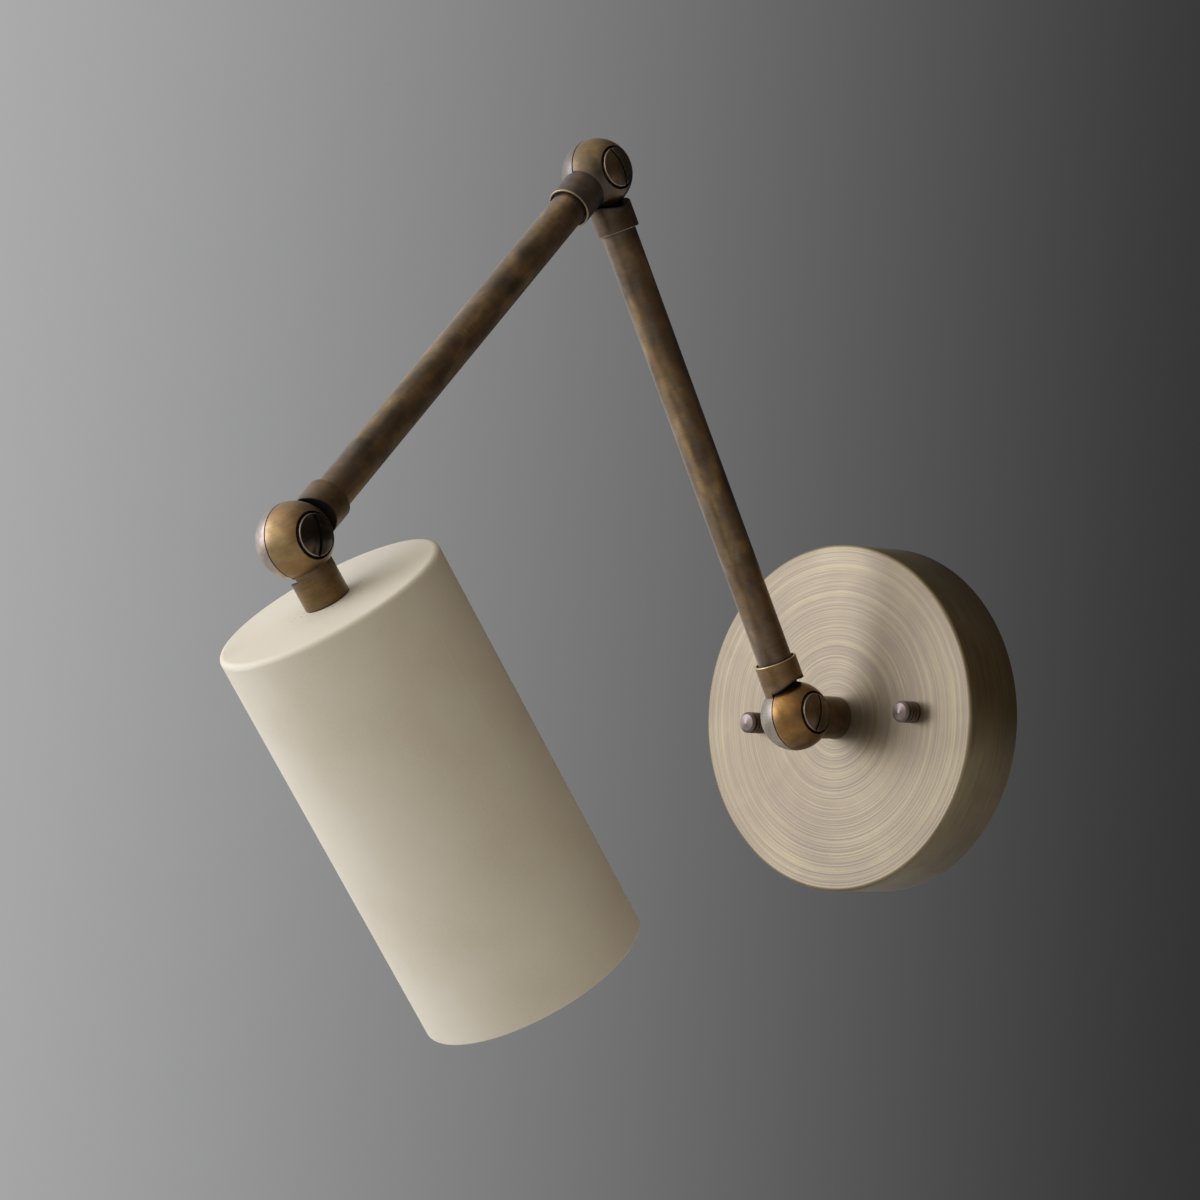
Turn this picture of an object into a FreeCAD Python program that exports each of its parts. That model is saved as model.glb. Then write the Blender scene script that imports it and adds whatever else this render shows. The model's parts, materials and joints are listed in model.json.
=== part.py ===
"""Articulating wall lamp: a round wall cover, two tubular arms and a cylinder shade on three ball knuckles.

Units are millimetres.  The wall is the plane y = 0 and the room is on its -Y side, so the lamp reaches
towards -Y.  The origin is the centre of the wall cover where it meets the wall, and +Z is up.
The arms, both their ends and the shade swing in one plane, which stands on the cover's axis.  Every pivot
in the three knuckles is square to that plane.
Each knuckle is one ball split at its middle.  Either half carries a full round neck, milled out about the
pivot where it faces the other half.  A domed, slotted screw goes in from one side and threads into the
other half.
"""

import FreeCAD, Part
import math
import os

Vector = FreeCAD.Vector

# ---- wall cover and what fixes it to the wall -------------------------------------------------------
COVER_RADIUS = 60.3
COVER_DEPTH = 25.0
COVER_WALL = 1.2
COVER_EDGE_RADIUS = 1.8
STUD_SPACING = 69.85
STUD_RADIUS = 2.0
STUD_HOLE_CLEARANCE = 0.3
STUD_GRIP = 4.6                 # thread length inside a cap nut
STUD_NUT_FLATS = 7.0
STUD_NUT_HEIGHT = 3.0
CAP_NUT_RADIUS = 3.7
CAP_NUT_BODY = 6.2              # height of its ringed side
CAP_NUT_BEVEL = 0.8
CAP_NUT_POINT = 0.7             # height of the low point inside the bevel
CAP_NUT_RINGS = 3
RING_DEPTH = 0.35
STUD_TIP_CLEARANCE = 0.4
BRACKET_WIDTH = 19.0
BRACKET_THICKNESS = 1.6
BRACKET_END_MARGIN = 4.0        # metal beyond a box slot's outer end
BOX_SCREW_SPACING = 88.9
BOX_SLOT_LENGTH = 7.5
BOX_SLOT_RADIUS = 2.2
BRACKET_HOLE_RADIUS = 7.0       # wires pass here
GROUND_SCREW_RADIUS = 1.9
GROUND_SCREW_HEAD_RADIUS = 3.8
GROUND_SCREW_HEAD_HEIGHT = 2.4
GROUND_SCREW_OFFSET = 18.0
GROUND_SCREW_TAIL = 1.2         # thread that shows between the bracket and the head
DRIVE_SLOT_WIDTH = 1.0

# ---- ball knuckles ----------------------------------------------------------------------------------
BALL_RADIUS = 11.9
BALL_WALL = 2.2
SPLIT_GAP = 0.45
SWING_CLEARANCE = 1.1           # between a ball half's rim and the hollow of the neck that faces it
NECK_RADIUS = 7.4
NECK_EDGE_RADIUS = 0.4
BOSS_RADIUS = 5.2
SHANK_RADIUS = 3.0
RUNNING_CLEARANCE = 0.05
FACE_CLEARANCE = 0.05           # between flat faces that turn on each other
HEAD_RADIUS = 6.6
HEAD_GAP = 0.85
HEAD_EDGE = 1.5                 # height of the head's side, below its dome
HEAD_RIM = 0.35                 # rounding between the head's side and its dome
SPRING_WASHER_THICKNESS = 0.8
FRICTION_WASHER_THICKNESS = 1.0
HEAD_FLOOR = 2.0                # metal under the screw head
BLIND_WALL = 3.0                # metal past the end of the screw's thread
SHANK_TIP_CLEARANCE = 0.4
SLOT_WIDTH = 1.0
SLOT_DEPTH = 2.5                # below the dome's crown, so that the slot runs out through the rim
WIRE_HOLE_RADIUS = 2.2
WIRE_HOLE_OFFSET = 2.6          # the wire hole lies on its own half's side of the split
SOCKET_FLOOR = 1.6              # metal between a neck's hollow and what is seated in the neck

# ---- arms -------------------------------------------------------------------------------------------
ARM_LENGTH = 197.0              # ball centre to ball centre, the same for both arms
TUBE_RADIUS = 6.0
TUBE_WALL = 1.0
TUBE_SOCKET_DEPTH = 6.0
TUBE_FIT = 0.02
MOUTH_RECESS_DEPTH = 0.9
MOUTH_LIP = 0.6                 # thickness of the bright lip round a collar's mouth

# ---- hollow threaded nipples ------------------------------------------------------------------------
NIPPLE_RADIUS = 5.0
NIPPLE_WALL = 1.4
NIPPLE_HOLE_CLEARANCE = 0.2
COVER_NIPPLE_GRIP = 6.1         # thread length inside the first neck
SHADE_NIPPLE_GRIP = 6.7         # thread length inside the last neck
NIPPLE_TAIL = 3.5               # thread past the cover's lock nut
LOCKNUT_FLATS = 14.0
LOCKNUT_HEIGHT = 4.0
WASHER_RADIUS = 9.0
WASHER_THICKNESS = 1.0
LOCK_WASHER_RADIUS = 8.0
LOCK_WASHER_THICKNESS = 1.2
LOCK_WASHER_SPLIT = 1.2

# ---- shade and lampholder ---------------------------------------------------------------------------
SHADE_RADIUS = 37.5
SHADE_LENGTH = 137.4
SHADE_WALL = 1.0
SHADE_EDGE_RADIUS = 1.8
HOLDER_DROP = 1.5               # from the shade's lock nut to the lampholder's hub
HUB_RADIUS = 7.6
HUB_HEIGHT = 5.0
HOLDER_CAP_RADIUS = 18.0
HOLDER_CAP_HEIGHT = 21.0
HOLDER_CAP_WALL = 1.0
HOLDER_CAP_SKIRT = 7.0
HOLDER_DOME_SPREAD = 0.75       # share of the dome's width that it has reached part way down
HOLDER_DOME_FALL = 0.35         # share of the dome's height at that place
HOLDER_BODY_HEIGHT = 38.0
HOLDER_BODY_STEP = 2.0          # how far the body's wide part stands past the cap's skirt
HOLDER_FLOOR = 6.0
HOLDER_CHAMFER = 1.0
HOLDER_FIT = 0.1
LAMP_THREAD_RADIUS = 13.2
LAMP_SHELL_WALL = 0.5
LAMP_SHELL_LENGTH = 24.0
LAMP_SHELL_INSET = 2.0          # from the lampholder's mouth to the thread shell
CONTACT_WIDTH = 6.0
CONTACT_THICKNESS = 0.5
CONTACT_RISE = 4.0
CONTACT_REACH = 8.0

# ---- general ----------------------------------------------------------------------------------------
SMALLEST_ROUNDING = 0.2
OVERRUN = 1.0                   # how far a cutting shape runs past the metal it cuts

# ---- how the photographed lamp is folded, in degrees ------------------------------------------------
SWING_PLANE_TURN = -4.5         # the arms' plane about the cover's axis
LOWER_ARM_ANGLE = 23.4          # the first arm from the wall's direction, outwards
ELBOW_ANGLE = 70.4              # between the two arms
SHADE_ANGLE = 33.4              # the shade's axis from the wall's direction, its mouth towards the wall
SCREW_SLOT_ANGLES = {"shoulder": 55.0, "elbow": -84.0, "shade_joint": -37.0}

# ---- worked out from the sizes above ----------------------------------------------------------------
RELIEF_RADIUS = BALL_RADIUS + SWING_CLEARANCE
NECK_FLOOR = RELIEF_RADIUS + SOCKET_FLOOR
COLLAR_REACH = NECK_FLOOR + TUBE_SOCKET_DEPTH
COVER_NECK_REACH = NECK_FLOOR + COVER_NIPPLE_GRIP
SHADE_NECK_REACH = NECK_FLOOR + SHADE_NIPPLE_GRIP
HEAD_SEAT = math.sqrt(BALL_RADIUS ** 2 - HEAD_RADIUS ** 2) - HEAD_EDGE
HEAD_FLOOR_FACE = HEAD_SEAT - SPRING_WASHER_THICKNESS - FACE_CLEARANCE
HALF_SPLIT = SPLIT_GAP / 2
BOSS_DROP = FRICTION_WASHER_THICKNESS - HALF_SPLIT + FACE_CLEARANCE
THREAD_END = BALL_RADIUS - BLIND_WALL
SHOULDER_REACH = COVER_DEPTH + FACE_CLEARANCE + COVER_NECK_REACH
FOLD_STOP = 2 * math.degrees(math.asin(NECK_RADIUS / RELIEF_RADIUS))


def swing_direction(angle):
    """Unit vector in the arms' plane, at an angle from straight up the wall, turned outwards."""
    turn = math.radians(SWING_PLANE_TURN)
    lean = math.radians(angle)
    return Vector(math.sin(turn) * math.cos(lean), -math.sin(lean), math.cos(turn) * math.cos(lean))


PIVOT = Vector(math.cos(math.radians(SWING_PLANE_TURN)), 0, -math.sin(math.radians(SWING_PLANE_TURN)))
INTO_WALL = Vector(0, 1, 0)
LOWER_ARM = swing_direction(LOWER_ARM_ANGLE)
UPPER_ARM = swing_direction(LOWER_ARM_ANGLE + 180 - ELBOW_ANGLE)
SHADE_AXIS = swing_direction(180 + SHADE_ANGLE)
SHOULDER = INTO_WALL * -SHOULDER_REACH
ELBOW = SHOULDER + LOWER_ARM * ARM_LENGTH
SHADE_JOINT = ELBOW + UPPER_ARM * ARM_LENGTH
SHADE_TOP = SHADE_JOINT + SHADE_AXIS * SHADE_NECK_REACH

NODES = {}


def keep(name, shape, origin=Vector(0, 0, 0), z_axis=Vector(0, 0, 1), x_axis=Vector(1, 0, 0)):
    """Place a piece, drawn about its own +Z, and keep it under its name."""
    turn = FreeCAD.Rotation(x_axis, z_axis.cross(x_axis), z_axis, "ZXY")
    placed = shape.removeSplitter()
    placed.Placement = FreeCAD.Placement(origin, turn).multiply(placed.Placement)
    solids = placed.Solids
    NODES[name] = solids[0] if len(solids) == 1 else Part.makeCompound(solids)


# ---- shapes that several pieces are made with -------------------------------------------------------

def turned(steps):
    """Solid of revolution about Z.  A step is (r, z), or (r, z, r, z) for an arc through a middle point."""
    start = Vector(steps[0][0], 0, steps[0][1])
    here = start
    edges = []
    for step in steps[1:] + [steps[0]]:
        there = Vector(step[-2], 0, step[-1])
        if len(step) == 4:
            edges.append(Part.Arc(here, Vector(step[0], 0, step[1]), there).toShape())
        elif there.distanceToPoint(here) > 1e-7:
            edges.append(Part.LineSegment(here, there).toShape())
        here = there
    face = Part.Face(Part.Wire(edges))
    return face.revolve(Vector(0, 0, 0), Vector(0, 0, 1), 360)


def rounding(centre_r, centre_z, radius, start, end):
    """Step for an arc of a turned outline, from one angle to another about its centre."""
    middle = math.radians((start + end) / 2)
    end = math.radians(end)
    return (centre_r + radius * math.cos(middle), centre_z + radius * math.sin(middle),
            centre_r + radius * math.cos(end), centre_z + radius * math.sin(end))


def rod(radius, low, high, axis=Vector(0, 0, 1), at=Vector(0, 0, 0)):
    """Round rod between two distances along an axis."""
    return Part.makeCylinder(radius, high - low, at + axis * low, axis)


def ring(outer, inner, low, high, axis=Vector(0, 0, 1)):
    """Flat ring or tube."""
    return rod(outer, low, high, axis).cut(rod(inner, low - OVERRUN, high + OVERRUN, axis))


def block(x_span, y_span, z_span):
    """Box between three pairs of limits."""
    corner = Vector(x_span[0], y_span[0], z_span[0])
    return Part.makeBox(x_span[1] - x_span[0], y_span[1] - y_span[0], z_span[1] - z_span[0], corner)


def slab(side, near, far):
    """Everything of a knuckle between two distances from the split, on one side of it."""
    reach = 3 * BALL_RADIUS
    limits = sorted((side * near, side * far))
    return block(limits, (-reach, reach), (-reach, 2 * reach))


def hexagon(flats, low, high):
    """Hexagonal bar with its corners eased, as on a turned nut."""
    corner = flats / math.sqrt(3)
    points = [Vector(corner * math.cos(math.radians(60 * k)), corner * math.sin(math.radians(60 * k)), low)
              for k in range(7)]
    bar = Part.Face(Part.makePolygon(points)).extrude(Vector(0, 0, high - low))
    ease = corner - flats / 2
    easing = turned([(0, low), (flats / 2 + ease / 2, low), (corner, low + ease / 2),
                     (corner, high - ease / 2), (flats / 2 + ease / 2, high), (0, high)])
    return bar.common(easing)


def split_ring(outer, inner, low, high, split):
    """Spring lock washer: a ring with a narrow cut through one side."""
    cut = block((0, 2 * outer), (-split / 2, split / 2), (low - OVERRUN, high + OVERRUN))
    return ring(outer, inner, low, high).cut(cut)


# ---- ball knuckles ----------------------------------------------------------------------------------

ACROSS = Vector(1, 0, 0)


def ball(radius):
    """Ball whose seam and poles lie away from the neck, so that every half is one clean face."""
    sphere = Part.makeSphere(radius)
    sphere.rotate(Vector(0, 0, 0), Vector(0, 1, 0), 90)
    return sphere


def neck_blank(reach):
    """Solid neck along +Z from the ball's centre, its end edge rounded."""
    edge = NECK_EDGE_RADIUS
    return turned([(0, 0), (NECK_RADIUS, 0), (NECK_RADIUS, reach - edge),
                   rounding(NECK_RADIUS - edge, reach - edge, edge, 0, 90), (0, reach)])


def ball_half(side, reach):
    """Half ball and a full round neck, with a hollow milled about the pivot for the other half to turn in."""
    neck = neck_blank(reach)
    own = ball(BALL_RADIUS).fuse(neck).common(slab(side, HALF_SPLIT, 2 * BALL_RADIUS))
    return own.fuse(neck.cut(rod(RELIEF_RADIUS, -BALL_RADIUS, BALL_RADIUS, ACROSS)))


def wire_way(side, depth):
    """Hollow of a half round its boss, and the hole from there into its neck."""
    room = ball(BALL_RADIUS - BALL_WALL).common(slab(side, 0, depth))
    room = room.cut(rod(BOSS_RADIUS, -BALL_RADIUS, BALL_RADIUS, ACROSS))
    hole = rod(WIRE_HOLE_RADIUS, BOSS_RADIUS + WIRE_HOLE_RADIUS / 2, NECK_FLOOR + OVERRUN,
               at=Vector(side * WIRE_HOLE_OFFSET, 0, 0))
    return room.fuse(hole)


def head_half(reach):
    """The half that the screw's head sits in and turns in, on the +X side."""
    half = ball_half(1, reach)
    half = half.cut(wire_way(1, HEAD_FLOOR_FACE - HEAD_FLOOR))
    half = half.cut(rod(HEAD_RADIUS + HEAD_GAP, HEAD_FLOOR_FACE, 2 * BALL_RADIUS, ACROSS))
    return half.cut(rod(SHANK_RADIUS + RUNNING_CLEARANCE, -BALL_RADIUS, BALL_RADIUS, ACROSS))


def thread_half(reach):
    """The half that the screw threads into, on the -X side.  Its boss is cut back for the washer."""
    half = ball_half(-1, reach)
    half = half.cut(wire_way(-1, THREAD_END - HEAD_FLOOR))
    half = half.cut(rod(BOSS_RADIUS, -BOSS_DROP, 0, ACROSS))
    return half.cut(rod(SHANK_RADIUS, -THREAD_END, 0, ACROSS))


def tube_collar(half):
    """Cut a collar's socket for the arm tube and the shallow recess behind its lip."""
    socket = rod(TUBE_RADIUS + TUBE_FIT, NECK_FLOOR, COLLAR_REACH + OVERRUN)
    recess = rod(NECK_RADIUS - MOUTH_LIP, COLLAR_REACH - MOUTH_RECESS_DEPTH, COLLAR_REACH + OVERRUN)
    return half.cut(socket).cut(recess)


def nipple_neck(half, reach):
    """Cut a neck's threaded hole for a nipple."""
    return half.cut(rod(NIPPLE_RADIUS, NECK_FLOOR, reach + OVERRUN))


def pivot_screw(slot_angle):
    """Screw along +X: a head domed flush with the ball, a slot right across it, and the shank."""
    dome_edge = HEAD_RADIUS - HEAD_RIM
    dome_foot = math.sqrt(BALL_RADIUS ** 2 - dome_edge ** 2)
    dome_start = math.degrees(math.atan2(dome_foot, dome_edge))
    head = turned([(0, HEAD_SEAT), (HEAD_RADIUS, HEAD_SEAT), (HEAD_RADIUS, dome_foot - HEAD_RIM),
                   rounding(dome_edge, dome_foot - HEAD_RIM, HEAD_RIM, 0, 90),
                   rounding(0, 0, BALL_RADIUS, dome_start, 90)])
    head.rotate(Vector(0, 0, 0), Vector(0, 1, 0), 90)
    slot = block((BALL_RADIUS - SLOT_DEPTH, 2 * BALL_RADIUS), (-BALL_RADIUS, BALL_RADIUS),
                 (-SLOT_WIDTH / 2, SLOT_WIDTH / 2))
    slot.rotate(Vector(0, 0, 0), ACROSS, slot_angle)
    return head.cut(slot).fuse(rod(SHANK_RADIUS, -THREAD_END + SHANK_TIP_CLEARANCE, HEAD_SEAT, ACROSS))


def make_knuckle(name, centre, head_piece, thread_piece):
    """A knuckle's two halves, its screw and its two washers.

    Each piece is given as (node name, direction of its neck, finished half).
    """
    for node, direction, half in (head_piece, thread_piece):
        keep(node, half, centre, direction, PIVOT)
    direction = thread_piece[1]
    keep(name + "_screw", pivot_screw(SCREW_SLOT_ANGLES[name]), centre, direction, PIVOT)
    washer_low = HEAD_SEAT - SPRING_WASHER_THICKNESS
    washer = ring(HEAD_RADIUS - HEAD_GAP, SHANK_RADIUS, washer_low, HEAD_SEAT, ACROSS)
    keep(name + "_spring_washer", washer, centre, direction, PIVOT)
    washer = ring(BOSS_RADIUS, SHANK_RADIUS, -BOSS_DROP, FRICTION_WASHER_THICKNESS - BOSS_DROP, ACROSS)
    keep(name + "_friction_washer", washer, centre, direction, PIVOT)


def make_knuckles():
    """Shoulder at the wall cover, elbow between the arms, and the shade's joint."""
    make_knuckle("shoulder", SHOULDER,
                 ("shoulder_neck_half", INTO_WALL,
                  nipple_neck(head_half(COVER_NECK_REACH), COVER_NECK_REACH)),
                 ("shoulder_arm_half", LOWER_ARM, tube_collar(thread_half(COLLAR_REACH))))
    make_knuckle("elbow", ELBOW,
                 ("elbow_upper_half", UPPER_ARM, tube_collar(head_half(COLLAR_REACH))),
                 ("elbow_lower_half", -LOWER_ARM, tube_collar(thread_half(COLLAR_REACH))))
    make_knuckle("shade_joint", SHADE_JOINT,
                 ("shade_joint_neck_half", SHADE_AXIS,
                  nipple_neck(head_half(SHADE_NECK_REACH), SHADE_NECK_REACH)),
                 ("shade_joint_arm_half", -UPPER_ARM, tube_collar(thread_half(COLLAR_REACH))))


def make_arm_tubes():
    """Both arm tubes, each seated on the floors of its two collars."""
    length = ARM_LENGTH - 2 * NECK_FLOOR
    arms = (("lower_arm_tube", SHOULDER, LOWER_ARM), ("upper_arm_tube", ELBOW, UPPER_ARM))
    for name, start, direction in arms:
        tube = ring(TUBE_RADIUS, TUBE_RADIUS - TUBE_WALL, 0, length)
        keep(name, tube, start + direction * NECK_FLOOR, direction, PIVOT)


# ---- wall cover -------------------------------------------------------------------------------------
# These pieces are drawn with +Z out of the wall, +X to the right and +Y up.

def on_wall(name, shape):
    """Keep a piece that is drawn standing out of the wall."""
    keep(name, shape, Vector(0, 0, 0), -INTO_WALL, Vector(1, 0, 0))


def cover_shape():
    """Spun round cover with a flat front, open at the back."""
    edge = COVER_EDGE_RADIUS
    inner_edge = max(edge - COVER_WALL, SMALLEST_ROUNDING)
    inner = COVER_RADIUS - COVER_WALL
    floor = COVER_DEPTH - COVER_WALL
    shell = turned([(0, floor), (inner - inner_edge, floor),
                    rounding(inner - inner_edge, floor - inner_edge, inner_edge, 90, 0),
                    (inner, 0), (COVER_RADIUS, 0), (COVER_RADIUS, COVER_DEPTH - edge),
                    rounding(COVER_RADIUS - edge, COVER_DEPTH - edge, edge, 0, 90), (0, COVER_DEPTH)])
    shell = shell.cut(rod(NIPPLE_RADIUS + NIPPLE_HOLE_CLEARANCE, 0, COVER_DEPTH + OVERRUN))
    for x in (-STUD_SPACING / 2, STUD_SPACING / 2):
        hole = rod(STUD_RADIUS + STUD_HOLE_CLEARANCE, 0, COVER_DEPTH + OVERRUN, at=Vector(x, 0, 0))
        shell = shell.cut(hole)
    return shell


def bracket_hole(centre_x, radius):
    """Round hole through the bracket."""
    return rod(radius, -OVERRUN, BRACKET_THICKNESS + OVERRUN, at=Vector(centre_x, 0, 0))


def slot_hole(centre_x, length, radius):
    """Slotted hole through the bracket, along X."""
    ends = (centre_x - length / 2 + radius, centre_x + length / 2 - radius)
    hole = block(ends, (-radius, radius), (-OVERRUN, BRACKET_THICKNESS + OVERRUN))
    for x in ends:
        hole = hole.fuse(bracket_hole(x, radius))
    return hole


def bracket_shape():
    """Flat crossbar with round ends, slots for the box screws and threaded holes for the studs."""
    end_radius = BRACKET_WIDTH / 2
    half_length = BOX_SCREW_SPACING / 2 + BOX_SLOT_LENGTH / 2 + BRACKET_END_MARGIN
    bar = block((-half_length, half_length), (-end_radius, end_radius), (0, BRACKET_THICKNESS))
    bar = bar.common(rod(half_length, 0, BRACKET_THICKNESS))
    for side in (-1, 1):
        bar = bar.cut(slot_hole(side * BOX_SCREW_SPACING / 2, BOX_SLOT_LENGTH, BOX_SLOT_RADIUS))
        bar = bar.cut(bracket_hole(side * STUD_SPACING / 2, STUD_RADIUS))
    bar = bar.cut(bracket_hole(0, BRACKET_HOLE_RADIUS))
    return bar.cut(bracket_hole(GROUND_SCREW_OFFSET, GROUND_SCREW_RADIUS))


def cap_nut_shape():
    """Small turned nut with a ringed side and a bevelled, slightly pointed end, blind for the stud."""
    radius = CAP_NUT_RADIUS
    pitch = CAP_NUT_BODY / (CAP_NUT_RINGS + 1)
    steps = [(0, 0), (radius, 0)]
    for k in range(1, CAP_NUT_RINGS + 1):
        z = k * pitch
        steps += [(radius, z - pitch / 4), (radius - RING_DEPTH, z), (radius, z + pitch / 4)]
    bevel_top = CAP_NUT_BODY + CAP_NUT_BEVEL
    steps += [(radius, CAP_NUT_BODY), (radius - CAP_NUT_BEVEL, bevel_top), (0, bevel_top + CAP_NUT_POINT)]
    return turned(steps).cut(rod(STUD_RADIUS, -OVERRUN, STUD_GRIP + STUD_TIP_CLEARANCE))


def make_wall_fixing():
    """Cover, crossbar, two studs with their nuts, and the ground screw."""
    on_wall("wall_cover", cover_shape())
    on_wall("wall_bracket", bracket_shape())
    stud_end = COVER_DEPTH + STUD_GRIP
    for side, word in ((-1, "left"), (1, "right")):
        at = Vector(side * STUD_SPACING / 2, 0, 0)
        stud = rod(STUD_RADIUS, 0, stud_end, at=at)
        on_wall("stud_" + word, stud)
        nut = hexagon(STUD_NUT_FLATS, BRACKET_THICKNESS, BRACKET_THICKNESS + STUD_NUT_HEIGHT)
        nut = nut.cut(rod(STUD_RADIUS, 0, 2 * STUD_NUT_HEIGHT + BRACKET_THICKNESS))
        nut.translate(at)
        on_wall("stud_nut_" + word, nut)
        cap = cap_nut_shape()
        cap.translate(at + Vector(0, 0, COVER_DEPTH))
        on_wall("cap_nut_" + word, cap)
    on_wall("ground_screw", ground_screw_shape())


def ground_screw_shape():
    """Slotted screw with a domed head that stands a little off the bracket."""
    radius = GROUND_SCREW_HEAD_RADIUS
    under_head = BRACKET_THICKNESS + GROUND_SCREW_TAIL
    slot_floor = under_head + GROUND_SCREW_HEAD_HEIGHT / 2
    top = under_head + GROUND_SCREW_HEAD_HEIGHT
    screw = turned([(0, 0), (GROUND_SCREW_RADIUS, 0), (GROUND_SCREW_RADIUS, under_head), (radius, under_head),
                    (radius, slot_floor), (radius / 2, top), (0, top)])
    slot = block((-2 * radius, 2 * radius), (-DRIVE_SLOT_WIDTH / 2, DRIVE_SLOT_WIDTH / 2),
                 (slot_floor, top + OVERRUN))
    screw = screw.cut(slot)
    screw.translate(Vector(GROUND_SCREW_OFFSET, 0, 0))
    return screw


def nipple_shape(low, high):
    """Short threaded pipe that the wires pass through."""
    return ring(NIPPLE_RADIUS, NIPPLE_RADIUS - NIPPLE_WALL, low, high)


def locknut_shape(low):
    """Hexagonal lock nut on a nipple."""
    nut = hexagon(LOCKNUT_FLATS, low, low + LOCKNUT_HEIGHT)
    return nut.cut(rod(NIPPLE_RADIUS, low - OVERRUN, low + LOCKNUT_HEIGHT + OVERRUN))


def make_cover_swivel():
    """Nipple from the first neck through the cover, held behind it by two washers and a lock nut.

    These pieces are drawn with +Z into the wall, from the shoulder's centre.
    """
    behind_cover = COVER_NECK_REACH + FACE_CLEARANCE + COVER_WALL + FACE_CLEARANCE
    lock_washer = behind_cover + WASHER_THICKNESS
    locknut = lock_washer + LOCK_WASHER_THICKNESS
    pieces = (
        ("cover_nipple", nipple_shape(NECK_FLOOR, locknut + LOCKNUT_HEIGHT + NIPPLE_TAIL)),
        ("cover_washer", ring(WASHER_RADIUS, NIPPLE_RADIUS, behind_cover, lock_washer)),
        ("cover_lock_washer",
         split_ring(LOCK_WASHER_RADIUS, NIPPLE_RADIUS, lock_washer, locknut, LOCK_WASHER_SPLIT)),
        ("cover_locknut", locknut_shape(locknut)),
    )
    for name, shape in pieces:
        keep(name, shape, SHOULDER, INTO_WALL, PIVOT)


# ---- shade and lampholder ---------------------------------------------------------------------------
# These pieces are drawn with +Z down the shade's axis, from the outside of its closed top.

def on_shade(name, shape):
    """Keep a piece that is drawn from the top of the shade."""
    keep(name, shape, SHADE_TOP, SHADE_AXIS, PIVOT)


def shade_shape():
    """Straight cylinder with a closed top, a rounded top edge and an open mouth."""
    edge = SHADE_EDGE_RADIUS
    inner_edge = max(edge - SHADE_WALL, SMALLEST_ROUNDING)
    inner = SHADE_RADIUS - SHADE_WALL
    lip = SHADE_WALL / 2
    shell = turned([(0, 0), (SHADE_RADIUS - edge, 0),
                    rounding(SHADE_RADIUS - edge, edge, edge, -90, 0),
                    (SHADE_RADIUS, SHADE_LENGTH - lip),
                    rounding(SHADE_RADIUS - lip, SHADE_LENGTH - lip, lip, 0, 180),
                    (inner, SHADE_WALL + inner_edge),
                    rounding(inner - inner_edge, SHADE_WALL + inner_edge, inner_edge, 0, -90),
                    (0, SHADE_WALL)])
    return shell.cut(rod(NIPPLE_RADIUS + NIPPLE_HOLE_CLEARANCE, -OVERRUN, SHADE_WALL + OVERRUN))


def holder_cap_shape(low):
    """Lampholder cap: a threaded hub that flares into a dome and a straight skirt."""
    wall = HOLDER_CAP_WALL
    rim = low + HOLDER_CAP_HEIGHT
    dome_foot = rim - HOLDER_CAP_SKIRT
    hub_foot = low + HUB_HEIGHT
    outer = HOLDER_CAP_RADIUS
    rise = dome_foot - hub_foot
    shoulder_r = HUB_RADIUS + (outer - HUB_RADIUS) * HOLDER_DOME_SPREAD
    shoulder_z = hub_foot + rise * HOLDER_DOME_FALL
    return turned([(NIPPLE_RADIUS, low), (HUB_RADIUS, low), (HUB_RADIUS, hub_foot),
                   (shoulder_r, shoulder_z, outer, dome_foot), (outer, rim),
                   (outer - wall, rim), (outer - wall, dome_foot),
                   (shoulder_r - wall, shoulder_z + wall, HUB_RADIUS, hub_foot + wall),
                   (NIPPLE_RADIUS, hub_foot + wall)])


def holder_body_shape(low):
    """Moulded lampholder body: a spigot inside the cap's skirt, then a wider barrel, bored for the shell."""
    spigot = HOLDER_CAP_RADIUS - HOLDER_CAP_WALL - HOLDER_FIT
    barrel = HOLDER_CAP_RADIUS + HOLDER_BODY_STEP / 2
    cap_rim = low + HOLDER_CAP_SKIRT
    mouth = low + HOLDER_BODY_HEIGHT
    bore = LAMP_THREAD_RADIUS + LAMP_SHELL_WALL
    floor = low + HOLDER_FLOOR
    body = turned([(0, low), (spigot, low), (spigot, cap_rim), (barrel, cap_rim),
                   (barrel, mouth - HOLDER_CHAMFER), (barrel - HOLDER_CHAMFER, mouth),
                   (bore, mouth), (bore, floor), (0, floor)])
    for x in (-spigot / 2, spigot / 2):
        body = body.cut(rod(WIRE_HOLE_RADIUS, low - OVERRUN, floor + OVERRUN, at=Vector(x, 0, 0)))
    return body


def contact_shape(floor):
    """Centre contact: a sprung brass tongue that rises from the lampholder's floor."""
    half = CONTACT_WIDTH / 2
    thickness = CONTACT_THICKNESS
    outline = [(-CONTACT_REACH, 0), (0, 0), (half, CONTACT_RISE), (half - thickness, CONTACT_RISE),
               (-thickness, thickness), (-CONTACT_REACH, thickness), (-CONTACT_REACH, 0)]
    points = [Vector(0, -half, 0) + Vector(x, 0, floor + z) for x, z in outline]
    return Part.Face(Part.makePolygon(points)).extrude(Vector(0, CONTACT_WIDTH, 0))


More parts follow.
